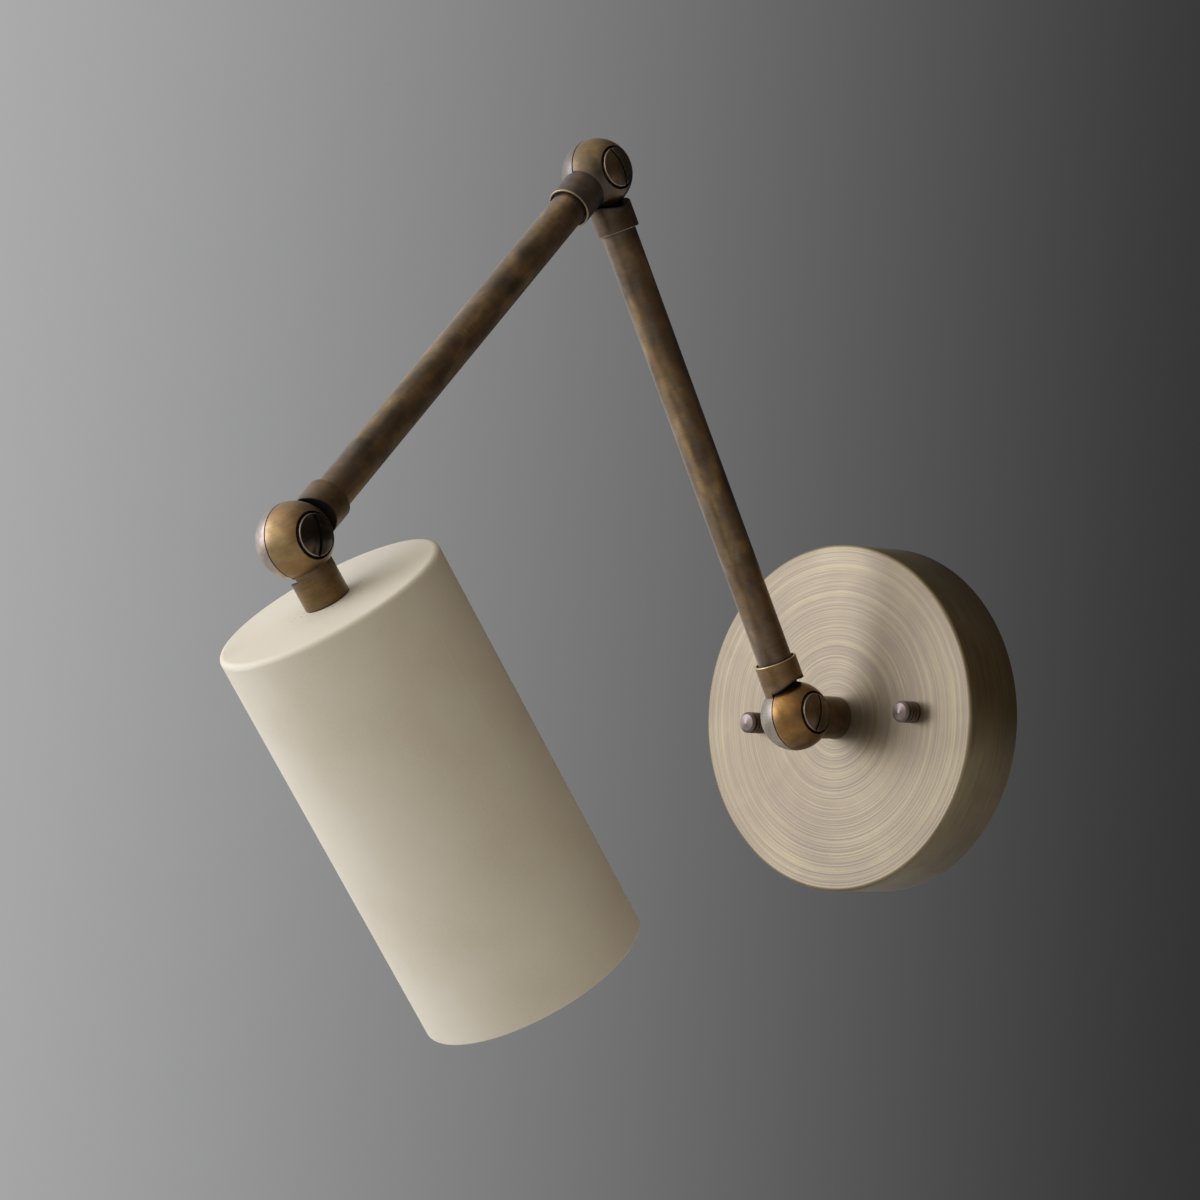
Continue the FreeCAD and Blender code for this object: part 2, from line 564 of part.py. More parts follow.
def make_shade():
    """Shade, the nipple that hangs it and the lampholder under it."""
    on_shade("shade_shell", shade_shape())
    washer = SHADE_WALL
    locknut = washer + WASHER_THICKNESS
    holder = locknut + LOCKNUT_HEIGHT + HOLDER_DROP
    body = holder + HOLDER_CAP_HEIGHT - HOLDER_CAP_SKIRT
    mouth = body + HOLDER_BODY_HEIGHT
    shell_end = mouth - LAMP_SHELL_INSET
    on_shade("shade_washer", ring(WASHER_RADIUS, NIPPLE_RADIUS, washer, locknut))
    on_shade("shade_locknut", locknut_shape(locknut))
    on_shade("shade_nipple", nipple_shape(-SHADE_NIPPLE_GRIP, holder + HUB_HEIGHT))
    on_shade("lampholder_cap", holder_cap_shape(holder))
    on_shade("lampholder_body", holder_body_shape(body))
    thread_shell = ring(LAMP_THREAD_RADIUS + LAMP_SHELL_WALL, LAMP_THREAD_RADIUS,
                        shell_end - LAMP_SHELL_LENGTH, shell_end)
    on_shade("lampholder_thread_shell", thread_shell)
    on_shade("lampholder_contact", contact_shape(body + HOLDER_FLOOR))


make_wall_fixing()
make_cover_swivel()
make_knuckles()
make_arm_tubes()
make_shade()

os.makedirs("parts", exist_ok=True)
for node_name, node_shape in NODES.items():
    node_shape.exportStep("parts/" + node_name + ".step")
    box = node_shape.BoundBox
    print("%-32s solids %d valid %s volume %9.1f  x %7.1f %7.1f  y %7.1f %7.1f  z %7.1f %7.1f" % (
        node_name, len(node_shape.Solids), node_shape.isValid(), node_shape.Volume,
        box.XMin, box.XMax, box.YMin, box.YMax, box.ZMin, box.ZMax))
print("necks of one knuckle touch at %.2f degrees" % FOLD_STOP)
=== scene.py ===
"""Looks of an articulating wall lamp: two arms, three ball knuckles, a round wall cover, a cylinder shade.

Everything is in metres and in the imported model's own frame.  The wall is the plane y = 0, the room is on
its -Y side and +Z is up.  The patterns of the materials and the outlines of the turned pieces are in
millimetres, about each piece's own axis.
"""

import math

import bpy
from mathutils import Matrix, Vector
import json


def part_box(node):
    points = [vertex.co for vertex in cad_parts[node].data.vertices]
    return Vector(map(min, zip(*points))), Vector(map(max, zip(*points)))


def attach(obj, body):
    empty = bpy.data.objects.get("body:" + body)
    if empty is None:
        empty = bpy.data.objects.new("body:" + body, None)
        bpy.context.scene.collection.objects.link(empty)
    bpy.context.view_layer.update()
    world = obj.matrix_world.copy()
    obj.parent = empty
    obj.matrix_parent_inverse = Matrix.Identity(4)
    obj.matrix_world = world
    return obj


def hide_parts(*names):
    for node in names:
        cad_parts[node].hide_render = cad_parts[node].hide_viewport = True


MM = 0.001

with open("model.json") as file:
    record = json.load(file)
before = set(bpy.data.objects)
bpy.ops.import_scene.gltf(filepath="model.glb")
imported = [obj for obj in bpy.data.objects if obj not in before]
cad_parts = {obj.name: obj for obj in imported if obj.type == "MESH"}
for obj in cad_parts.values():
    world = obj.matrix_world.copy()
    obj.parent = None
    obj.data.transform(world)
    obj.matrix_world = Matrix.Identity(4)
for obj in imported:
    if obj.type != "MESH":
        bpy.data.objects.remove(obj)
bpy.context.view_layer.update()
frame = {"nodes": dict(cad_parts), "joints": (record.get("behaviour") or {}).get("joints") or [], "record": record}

# ---- what the frame says ----------------------------------------------------------------------------

NODES = frame["nodes"]
JOINTS = {joint["name"]: joint for joint in frame["joints"]}
MOUNTS = {mount["name"]: mount for mount in frame["record"]["mounts"]}
SHOULDER = Vector(JOINTS["shoulder_tilt"]["pos_m"])
ELBOW = Vector(JOINTS["elbow_fold"]["pos_m"])
SHADE_JOINT = Vector(JOINTS["shade_tilt"]["pos_m"])
PIVOT = Vector(JOINTS["shoulder_tilt"]["axis"])
OUT_OF_WALL = Vector(JOINTS["cover_swivel"]["axis"])
LOWER_ARM = (ELBOW - SHOULDER).normalized()
UPPER_ARM = (SHADE_JOINT - ELBOW).normalized()
LAMPHOLDER = Vector(MOUNTS["lampholder"]["pos_m"])
SHADE_AXIS = Vector(MOUNTS["lampholder"]["axis"]).normalized()
WALL_CENTRE = Vector((0, 0, 0))


def reach_along(name, origin, axis):
    """How far a node reaches along an axis, in millimetres."""
    return max((vertex.co - origin).dot(axis) for vertex in NODES[name].data.vertices) / MM


def reach_about(name, origin, axis):
    """How far a node reaches from an axis, in millimetres."""
    return max((vertex.co - origin).cross(axis).length for vertex in NODES[name].data.vertices) / MM


def middle_of(name):
    """Middle of a node's box."""
    low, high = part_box(name)
    return (low + high) / 2


# A knuckle screw's dome lies on its ball's sphere.
BALL_RADIUS = reach_along("elbow_screw", ELBOW, PIVOT)
HEAD_RADIUS = reach_about("elbow_screw", ELBOW, PIVOT)
COVER_RADIUS = reach_about("wall_cover", WALL_CENTRE, OUT_OF_WALL)
COVER_DEPTH = reach_along("wall_cover", WALL_CENTRE, OUT_OF_WALL)

# ---- camera, light and background -------------------------------------------------------------------

CAMERA_AZIMUTH = math.radians(44.27)
CAMERA_ELEVATION = math.radians(-5.28)
CAMERA_ROLL = math.radians(-0.99)
CAMERA_DISTANCE = 1.1576
CAMERA_TARGET = Vector((0, -0.14074, 0.03482))
CAMERA_LENS = 106.8
SENSOR_WIDTH = 36.0
CLIP_START = 0.01

LIGHT_FROM = Vector((-0.70, -0.68, 0.26)).normalized()
SKY_FROM = Vector((-0.70, -0.69, 0.08)).normalized()
FILL_FROM = Vector((0.93, -0.36, -0.05)).normalized()
TOP_FROM = Vector((0.15, -0.30, 1.0)).normalized()
SKY_DARK = (0.027, 0.027, 0.028)
# Each glow: its direction, its colour, and the cosines from that direction at which it starts and is full.
SKY_GLOWS = (
    (SKY_FROM, (0.533, 0.533, 0.535), (-0.21, 0.39)),
    (SKY_FROM, (0.80, 0.83, 0.89), (0.35, 0.90)),
    (FILL_FROM, (0.124, 0.089, 0.051), (-0.45, 1.0)),
    (TOP_FROM, (0.118, 0.113, 0.106), (0.30, 1.0)),
)
KEY_DISTANCE = 1.3
KEY_SIZE = 0.85
KEY_POWER = 6.5
KEY_COLOUR = (0.88, 0.98, 1.24)
FLOOR_HEIGHT = -0.42
FLOOR_RADIUS = 2.6
FLOOR_THICKNESS = 10 * MM
FLOOR_SEGMENTS = 128


def make_camera():
    """Camera at the photograph's angle, aimed at a point of the lamp and turned a little about its axis."""
    away = Vector((math.sin(CAMERA_AZIMUTH) * math.cos(CAMERA_ELEVATION),
                   -math.cos(CAMERA_AZIMUTH) * math.cos(CAMERA_ELEVATION),
                   math.sin(CAMERA_ELEVATION)))
    level_right = (-away).cross(Vector((0, 0, 1))).normalized()
    level_up = level_right.cross(-away)
    right = math.cos(CAMERA_ROLL) * level_right + math.sin(CAMERA_ROLL) * level_up
    up = math.cos(CAMERA_ROLL) * level_up - math.sin(CAMERA_ROLL) * level_right
    data = bpy.data.cameras.new("camera")
    data.lens = CAMERA_LENS
    data.sensor_fit = "HORIZONTAL"
    data.sensor_width = SENSOR_WIDTH
    data.clip_start = CLIP_START
    camera = bpy.data.objects.new("camera", data)
    place_by_axes(camera, CAMERA_TARGET + away * CAMERA_DISTANCE, right, up, away)
    bpy.context.scene.collection.objects.link(camera)
    bpy.context.scene.camera = camera


def place_by_axes(thing, origin, x_axis, y_axis, z_axis):
    """Put an object at a point with its own axes along three given directions."""
    matrix = thing.matrix_world.copy()
    matrix.identity()
    for column, axis in enumerate((x_axis, y_axis, z_axis, origin)):
        for row in range(3):
            matrix[row][column] = axis[row]
    thing.matrix_world = matrix


def make_world():
    """Plain surroundings: pale on the light's side, weak glows opposite and above, dark elsewhere."""
    world = bpy.data.worlds.new("studio")
    bpy.context.scene.world = world
    world.use_nodes = True
    tree = world.node_tree
    place = tree.nodes.new("ShaderNodeTexCoord").outputs["Generated"]
    total = None
    for source, colour, (start, full) in SKY_GLOWS:
        towards = tree.nodes.new("ShaderNodeVectorMath")
        towards.operation = "DOT_PRODUCT"
        towards.inputs[1].default_value = source
        spread = tree.nodes.new("ShaderNodeMapRange")
        spread.interpolation_type = "SMOOTHSTEP"
        spread.inputs["From Min"].default_value = start
        spread.inputs["From Max"].default_value = full
        added = tree.nodes.new("ShaderNodeVectorMath")
        added.operation = "MULTIPLY_ADD"
        added.inputs[0].default_value = colour
        tree.links.new(place, towards.inputs[0])
        tree.links.new(towards.outputs["Value"], spread.inputs["Value"])
        tree.links.new(spread.outputs["Result"], added.inputs[1])
        if total is None:
            added.inputs[2].default_value = SKY_DARK
        else:
            tree.links.new(total, added.inputs[2])
        total = added.outputs["Vector"]
    tree.links.new(total, tree.nodes["Background"].inputs["Color"])


def make_key_light():
    """One soft square lamp, on the left of the camera and a little above the lamp."""
    data = bpy.data.lights.new("key", "AREA")
    data.shape = "SQUARE"
    data.size = KEY_SIZE
    data.energy = KEY_POWER
    data.color = KEY_COLOUR
    light = bpy.data.objects.new("key", data)
    light.location = CAMERA_TARGET + LIGHT_FROM * KEY_DISTANCE
    light.rotation_euler = LIGHT_FROM.to_track_quat("Z", "Y").to_euler()
    bpy.context.scene.collection.objects.link(light)


# ---- meshes -----------------------------------------------------------------------------------------

SHARP_ANGLE = math.radians(32)
DRILL_SEGMENTS = 96


def finish_mesh(piece):
    """Smooth shading, with the real corners kept sharp."""
    piece.data.polygons.foreach_set("use_smooth", [True] * len(piece.data.polygons))
    piece.data.set_sharp_from_angle(angle=SHARP_ANGLE)


def make_object(name, vertices, faces):
    """A mesh object in the scene."""
    mesh = bpy.data.meshes.new(name)
    mesh.from_pydata(vertices, [], faces)
    mesh.update()
    thing = bpy.data.objects.new(name, mesh)
    bpy.context.scene.collection.objects.link(thing)
    return thing


def make_piece(name, vertices, faces, material, body, replaced):
    """A mesh piece of the lamp that rides on a body and stands for the node it replaces."""
    piece = make_object(name, vertices, faces)
    finish_mesh(piece)
    piece.data.materials.append(material)
    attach(piece, body)
    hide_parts(replaced)
    return piece


def cross_axes(axis):
    """Two directions square to an axis and to each other."""
    side = axis.orthogonal().normalized()
    return side, axis.cross(side)


def lathe(outline, origin, axis, segments):
    """Vertices and faces of a closed outline of (radius, height) points turned about an axis.

    A point on the axis becomes one vertex.  A radius may be a function of the share of the turn.
    """
    side, other = cross_axes(axis)
    vertices = []
    rings = []
    for radius, height in outline:
        if radius == 0:
            rings.append([len(vertices)] * segments)
            vertices.append(origin + axis * height)
            continue
        rings.append(range(len(vertices), len(vertices) + segments))
        for k in range(segments):
            turn = 2 * math.pi * k / segments
            reach = radius(k / segments) if callable(radius) else radius
            outward = side * math.cos(turn) + other * math.sin(turn)
            vertices.append(origin + axis * height + outward * reach)
    faces = []
    for low, high in zip(rings, rings[1:] + rings[:1]):
        for k in range(segments):
            corners = (low[k], low[(k + 1) % segments], high[(k + 1) % segments], high[k])
            face = tuple(dict.fromkeys(corners))
            if len(face) > 2:
                faces.append(face)
    return vertices, faces


def make_turned(name, outline, origin, axis, segments, material, body, node):
    """A piece turned from an outline in millimetres, in place of a node."""
    vertices, faces = lathe(outline, WALL_CENTRE, axis, segments)
    vertices = [origin + vertex * MM for vertex in vertices]
    return make_piece(name, vertices, faces, material, body, node)


def drill(piece, origin, axis, radius, length):
    """Cut a round hole through a piece."""
    outline = [(0, -length), (radius, -length), (radius, length), (0, length)]
    tool = make_object("drill", *lathe(outline, origin, axis, DRILL_SEGMENTS))
    cut = piece.modifiers.new("cut", "BOOLEAN")
    cut.operation = "DIFFERENCE"
    cut.solver = "EXACT"
    cut.object = tool
    bpy.context.view_layer.update()
    evaluated = piece.evaluated_get(bpy.context.evaluated_depsgraph_get())
    cut_mesh = bpy.data.meshes.new_from_object(evaluated)
    piece.modifiers.clear()
    piece.data = cut_mesh
    bpy.data.objects.remove(tool)
    finish_mesh(piece)


# ---- materials: the nodes they share ----------------------------------------------------------------

RAY_SAMPLES = 6                 # of the nodes that feel for nearby edges and corners
EDGE_TURN = (0.992, 0.86)       # cosines of the turn of an eased edge at which it starts and is full
CORNER_SHADE = (0.75, 0.25)     # open share of the surroundings at which a corner starts and is full


class Shader:
    """One material and short calls that add a node to it and give back its output.

    A place is three outputs in millimetres: across the piece's axis, across it the other way, and along it.
    A point is the same as one vector.
    """

    def __init__(self, name, **fixed):
        self.material = bpy.data.materials.new(name)
        self.material.use_nodes = True
        self.nodes = self.material.node_tree.nodes
        self.links = self.material.node_tree.links
        self.surface = self.nodes["Principled BSDF"]
        for socket, value in fixed.items():
            self.set(socket.replace("_", " ").title(), value)

    def feed(self, socket, value):
        """Link an output to a socket, or set the socket to a plain value."""
        if isinstance(value, bpy.types.NodeSocket):
            self.links.new(value, socket)
        else:
            socket.default_value = value

    def set(self, name, value):
        """Feed one of the surface's own sockets."""
        self.feed(self.surface.inputs[name], value)

    def math(self, operation, *values):
        """Result of an operation on numbers."""
        node = self.nodes.new("ShaderNodeMath")
        node.operation = operation
        for socket, value in zip(node.inputs, values):
            self.feed(socket, value)
        return node.outputs[0]

    def product(self, *values):
        """Product of several factors."""
        total = values[0]
        for value in values[1:]:
            total = self.math("MULTIPLY", total, value)
        return total

    def largest(self, *values):
        """Largest of several masks."""
        total = values[0]
        for value in values[1:]:
            total = self.math("MAXIMUM", total, value)
        return total

    def weighted(self, values, weights):
        """Sum of several values, each times its weight."""
        total = 0.0
        for value, weight in zip(values, weights):
            total = self.math("MULTIPLY_ADD", value, weight, total)
        return total

    def vector(self, operation, *values):
        """Result of an operation on vectors."""
        node = self.nodes.new("ShaderNodeVectorMath")
        node.operation = operation
        for socket, value in zip(node.inputs, values):
            self.feed(socket, value)
        return node.outputs["Value" if operation in ("DOT_PRODUCT", "LENGTH") else "Vector"]

    def scale(self, vector, factor):
        """A vector or a colour times a factor."""
        node = self.nodes.new("ShaderNodeVectorMath")
        node.operation = "SCALE"
        self.feed(node.inputs[0], vector)
        self.feed(node.inputs["Scale"], factor)
        return node.outputs["Vector"]

    def join(self, x, y, z):
        """One vector from its three parts."""
        node = self.nodes.new("ShaderNodeCombineXYZ")
        for socket, value in zip(node.inputs, (x, y, z)):
            self.feed(socket, value)
        return node.outputs[0]

    def rest_point(self):
        """The surface's own point in the model's frame, in metres.  It moves with the piece."""
        return self.nodes.new("ShaderNodeTexCoord").outputs["Object"]

    def local(self, origin, axis):
        """Place on the piece, counted from an origin and along an axis."""
        from_origin = self.scale(self.vector("SUBTRACT", self.rest_point(), origin), 1 / MM)
        side, other = cross_axes(axis)
        return [self.vector("DOT_PRODUCT", from_origin, direction) for direction in (side, other, axis)]

    def from_axis(self, place):
        """Distance of a place from its axis."""
        return self.vector("LENGTH", self.join(place[0], place[1], 0.0))

    def from_origin(self, place):
        """Distance of a place from its origin."""
        return self.vector("LENGTH", self.join(*place))

    def noise(self, point, scale, detail=3.0, roughness=0.5, distortion=0.0):
        """Value of a noise texture at a point."""
        node = self.nodes.new("ShaderNodeTexNoise")
        self.feed(node.inputs["Vector"], point)
        settings = {"Scale": scale, "Detail": detail, "Roughness": roughness, "Distortion": distortion}
        for name, value in settings.items():
            node.inputs[name].default_value = value
        return node.outputs["Factor" if "Factor" in node.outputs else "Fac"]

    def drawn_noise(self, place, across, along, *texture):
        """Noise with its own scales across and along the piece's axis, so that it can lie round it."""
        x, y, z = place
        point = self.join(self.math("MULTIPLY", x, across), self.math("MULTIPLY", y, across),
                          self.math("MULTIPLY", z, along))
        return self.noise(point, 1.0, *texture)

    def patches(self, point, texture, cut):
        """Patches of a noise texture.  cut says where span() starts and ends, and with what weights."""
        return self.span(self.noise(point, *texture), *cut)

    def span(self, value, low, high, to_low=0.0, to_high=1.0):
        """Move a value from one range to another, held at both ends."""
        node = self.nodes.new("ShaderNodeMapRange")
        self.feed(node.inputs["Value"], value)
        settings = {"From Min": low, "From Max": high, "To Min": to_low, "To Max": to_high}
        for name, number in settings.items():
            node.inputs[name].default_value = number
        return node.outputs["Result"]

    def past(self, value, border, fade):
        """0 to 1 as a value passes a border.  fade is where that starts and ends, from the border."""
        start, end = fade
        return self.span(value, border + start, border + end)

    def mix(self, factor, first, second):
        """From the first colour to the second."""
        node = self.nodes.new("ShaderNodeMix")
        node.data_type = "RGBA"
        self.feed(node.inputs["Factor"], factor)
        for name, value in (("A", first), ("B", second)):
            socket = [s for s in node.inputs if s.name == name and s.type == "RGBA"][0]
            self.feed(socket, value if isinstance(value, bpy.types.NodeSocket) else (*value, 1))
        return [s for s in node.outputs if s.type == "RGBA"][0]

    def ramp(self, factor, *stops):
        """Colour ramp through (position, colour) stops."""
        node = self.nodes.new("ShaderNodeValToRGB")
        self.feed(node.inputs[0], factor)
        elements = node.color_ramp.elements
        for position, _ in stops[len(elements):]:
            elements.new(position)
        for element, (position, colour) in zip(elements, stops):
            element.position = position
            element.color = (*colour, 1)
        return node.outputs["Color"]

    def bump(self, height, distance, normal=None):
        """Normal with a relief.  distance is how far a height of 1 stands out, in metres."""
        node = self.nodes.new("ShaderNodeBump")
        node.inputs["Distance"].default_value = distance
        self.feed(node.inputs["Height"], height)
        if normal is not None:
            self.feed(node.inputs["Normal"], normal)
        return node.outputs[0]

    def eased(self, radius):
        """Normal with every sharp edge eased by a radius."""
        node = self.nodes.new("ShaderNodeBevel")
        node.samples = RAY_SAMPLES
        node.inputs["Radius"].default_value = radius
        return node.outputs[0]

    def edge(self, radius):
        """1 along the piece's edges, 0 away from them."""
        true_normal = self.nodes.new("ShaderNodeNewGeometry").outputs["Normal"]
        return self.span(self.vector("DOT_PRODUCT", self.eased(radius), true_normal), *EDGE_TURN)

    def crevice(self, distance):
        """1 deep in a corner or a gap, 0 in the open."""
        node = self.nodes.new("ShaderNodeAmbientOcclusion")
        node.samples = RAY_SAMPLES
        node.inputs["Distance"].default_value = distance
        return self.span(node.outputs["AO"], *CORNER_SHADE)

    def along(self, direction):
        """A fixed direction of the piece, as the surface's tangent."""
        node = self.nodes.new("ShaderNodeVectorTransform")
        node.vector_type = "VECTOR"
        node.convert_from = "OBJECT"
        node.convert_to = "WORLD"
        self.feed(node.inputs[0], direction)
        return node.outputs[0]


# Below, a texture is what noise() takes after its point: scale, detail, roughness and distortion.  A drawn
# texture starts with its scales across and along the axis instead.  Patches are a texture, and what span()
# takes after its value.

# ---- materials: antique bronze ----------------------------------------------------------------------

BRONZE = (0.170, 0.110, 0.056)
BRONZE_GOLDEN = (0.310, 0.200, 0.084)
BRONZE_RED = (0.265, 0.134, 0.034)
BRONZE_PALE = (0.400, 0.325, 0.240)
BRONZE_ROSE = (0.310, 0.240, 0.190)
BRONZE_SILVERY = (0.150, 0.120, 0.096)
BRONZE_TAWNY = (0.275, 0.165, 0.070)
BRONZE_UMBER = (0.140, 0.105, 0.074)
BRONZE_BROWN = (0.180, 0.112, 0.040)
BRONZE_DARK = (0.105, 0.068, 0.038)
BRONZE_SMOKED = (0.120, 0.100, 0.086)
BRONZE_BLACK = (0.020, 0.013, 0.008)
BRONZE_GREY = (0.130, 0.108, 0.100)
# dark of the specks, and of the painted shade in hollows, recesses and corners
GRIME_AND_SHADE = (0.010, 0.007, 0.005)
WORN_BRASS = (0.60, 0.44, 0.24)
WORN_RIM = (0.42, 0.33, 0.24)
WORN_NUT = (0.20, 0.150, 0.125)

BROAD_CLOUDS = (0.075, 3.0, 0.5, 0.6)
SMALL_CLOUDS = (0.30, 4.0, 0.55, 0.3)
PATINA_WEIGHTS = (0.22, 0.5, 0.28)              # of the small clouds, the broad ones and the grain
PATINA_SHADES = (0.38, 0.62, 0.60, 1.42)        # span() from their sum to a factor of the tint
RED_PATCHES = (0.12, 2.0, 0.5, 0.4), (0.52, 0.72, 0.0, 0.5)
GREY_PATCHES = (0.17, 3.0, 0.6, 0.8), (0.52, 0.68, 0.0, 0.38)
SPECKS = (2.6, 3.0, 0.6), (0.66, 0.74, 0.0, 0.5)
WORN_PATCHES = (0.35, 3.0), (0.35, 0.6, 0.35, 0.9)
NUT_PATCHES = (0.5, 3.0), (0.3, 0.6, 0.45, 0.9)
NICKS = (0.9, 2.0), (0.44, 0.52)
TUBE_PATCHES = (0.13, 0.055, 2.0, 0.5, 0.5)     # drawn
TUBE_STOPS = (0.34, 0.50, 0.70)                 # of the dark, the common and the golden tint
GRAIN = (0.10, 3.2, 5.0, 0.7)                   # drawn
FINE_LINES = (0.25, 8.0, 3.0, 0.6)              # drawn
SMEARS = (0.16, 4.0, 0.6, 1.2)
SMEAR_RANGE = (0.3, 0.7)

LACQUER_ROUGHNESS = 0.30
SMEAR_ROUGHNESS = 0.06
GRAIN_ROUGHNESS = 0.08
# where grime and painted shade lie, the surface is duller and less metal
GRIME_AND_SHADE_ROUGHNESS = 0.3
GRIME_AND_SHADE_METALLIC = 0.1
BRUSH_ANISOTROPY = 0.3
BRUSH_DEPTH = 0.010 * MM
DENT_DEPTH = 0.012 * MM
EASED_EDGE = 0.10 * MM

# Each finish: how strongly it is brushed, how rough it is, and the weight of its lacquer.
BALL_FINISH = (0.5, 0.38, 0.35)
TUBE_FINISH = (0.8, 0.44, 0.7)
SCREW_FINISH = (0.3, 0.36, 0.35)
NUT_FINISH = (0.6, 0.36, 0.5)

# Forms of a knuckle and a cap nut that the masks follow, in millimetres.
HOLLOW_RADIUS = 13.0            # a neck is milled to this about the pivot
SEAT_RADIUS = 7.5               # just outside the recess of the screw's head
SEAT_SHADE = 8.9                # along the pivot, the height below which the recess is painted dark, as shade
NUT_BODY = 6.2                  # height of a cap nut's ringed side

# Where a mask starts and is full, in millimetres past the form that it follows.
OFF_BALL = (0.1, 0.3)
INTO_BALL = (-0.03, -0.12)
ACROSS_SPLIT = (0.35, 0.25)
INTO_HOLLOW = (0.8, 0.05)
INTO_SEAT = (0.1, 0.0)
INTO_SHADE = (0.0, -0.3)
INTO_SLOT = (-0.12, -0.35)
SLOT_END = (-0.3, -0.6)
NECK_END = (-0.45, -0.25)
HEAD_RIM = (-0.35, -0.15)
NUT_END = (-0.4, 0.6)
CROWN_RANGE = (1.0, 9.0)        # towards the crown, from the ball's centre
BALL_SHADES = (1.15, 0.6)       # factors of the tint, from the far side of the ball to its neck
CORNER_REACH = 2.2 * MM
# strength of the grime and painted shade in corners, gaps and crevices
CORNER_GRIME_AND_SHADE = 0.9
COLLAR_REACH = 1.5 * MM
NUT_REACH = 0.8 * MM
WORN_EDGE = 0.35 * MM
NICKED_EDGE = 0.3 * MM
RIM_WEAR = 0.85


def patina(shader, point, grain, tint):
    """A tint with slow clouds, reddish and grey patches, and small dark specks."""
    small = shader.noise(point, *SMALL_CLOUDS)
    broad = shader.noise(point, *BROAD_CLOUDS)
    tone = shader.weighted((small, broad, grain), PATINA_WEIGHTS)
    colour = shader.scale(tint, shader.span(tone, *PATINA_SHADES))
    colour = shader.mix(shader.patches(point, *RED_PATCHES), colour, BRONZE_RED)
    colour = shader.mix(shader.patches(point, *GREY_PATCHES), colour, BRONZE_GREY)
    return shader.mix(shader.patches(point, *SPECKS), colour, GRIME_AND_SHADE)


def brushed(shader, place, axis, grain, lines, grime_and_shade, rough):
    """Roughness and relief of bronze that was brushed round its axis.  Grime and painted shade dull it."""
    point = shader.join(*place)
    smeared = shader.span(shader.noise(point, *SMEARS), *SMEAR_RANGE,
                          rough - SMEAR_ROUGHNESS, rough + SMEAR_ROUGHNESS)
    dulled = shader.math("MULTIPLY_ADD", grime_and_shade, GRIME_AND_SHADE_ROUGHNESS, smeared)
    shader.set("Roughness", shader.math("MULTIPLY_ADD", grain, GRAIN_ROUGHNESS * lines, dulled))
    fine = shader.drawn_noise(place, *FINE_LINES)
    normal = shader.bump(fine, lines * BRUSH_DEPTH, shader.eased(EASED_EDGE))
    dents = shader.noise(point, *SMALL_CLOUDS)
    shader.set("Normal", shader.bump(dents, DENT_DEPTH, normal))
    shader.set("Anisotropic", BRUSH_ANISOTROPY * lines)
    shader.set("Tangent", shader.along(axis))


def bronze(name, origin, axis, tint, finish, masks):
    """Lacquered antique bronze, brushed round an axis.

    masks gives the shader's own tint, the places that are worn with their metal, and the grime and painted shade.
    """
    lines, rough, lacquer = finish
    shader = Shader(name, coat_roughness=LACQUER_ROUGHNESS)
    place = shader.local(origin, axis)
    grain = shader.drawn_noise(place, *GRAIN)
    tint, worn, metal, grime_and_shade = masks(shader, place, tint)
    colour = patina(shader, shader.join(*place), grain, tint)
    colour = shader.mix(worn, colour, metal)
    # grime and painted shade: dark colour, no lacquer, little metal
    colour = shader.mix(grime_and_shade, colour, GRIME_AND_SHADE)
    shader.set("Base Color", colour)
    shader.set("Metallic", shader.span(grime_and_shade, 0.0, 1.0, 1.0, GRIME_AND_SHADE_METALLIC))
    shader.set("Coat Weight", shader.span(grime_and_shade, 0.0, 1.0, lacquer, 0.0))
    brushed(shader, place, axis, grain, lines, grime_and_shade, rough)
    return shader.material


def tube_masks(shader, place, tint):
    """An arm tube has long golden and dark patches, and grime and painted shade only where it enters a collar."""
    patches = shader.drawn_noise(place, *TUBE_PATCHES)
    tint = shader.ramp(patches, *zip(TUBE_STOPS, (BRONZE_DARK, tint, BRONZE_GOLDEN)))
    # grime and painted shade in the crevice where the tube enters a collar
    return tint, 0.0, WORN_BRASS, shader.product(shader.crevice(COLLAR_REACH), CORNER_GRIME_AND_SHADE)


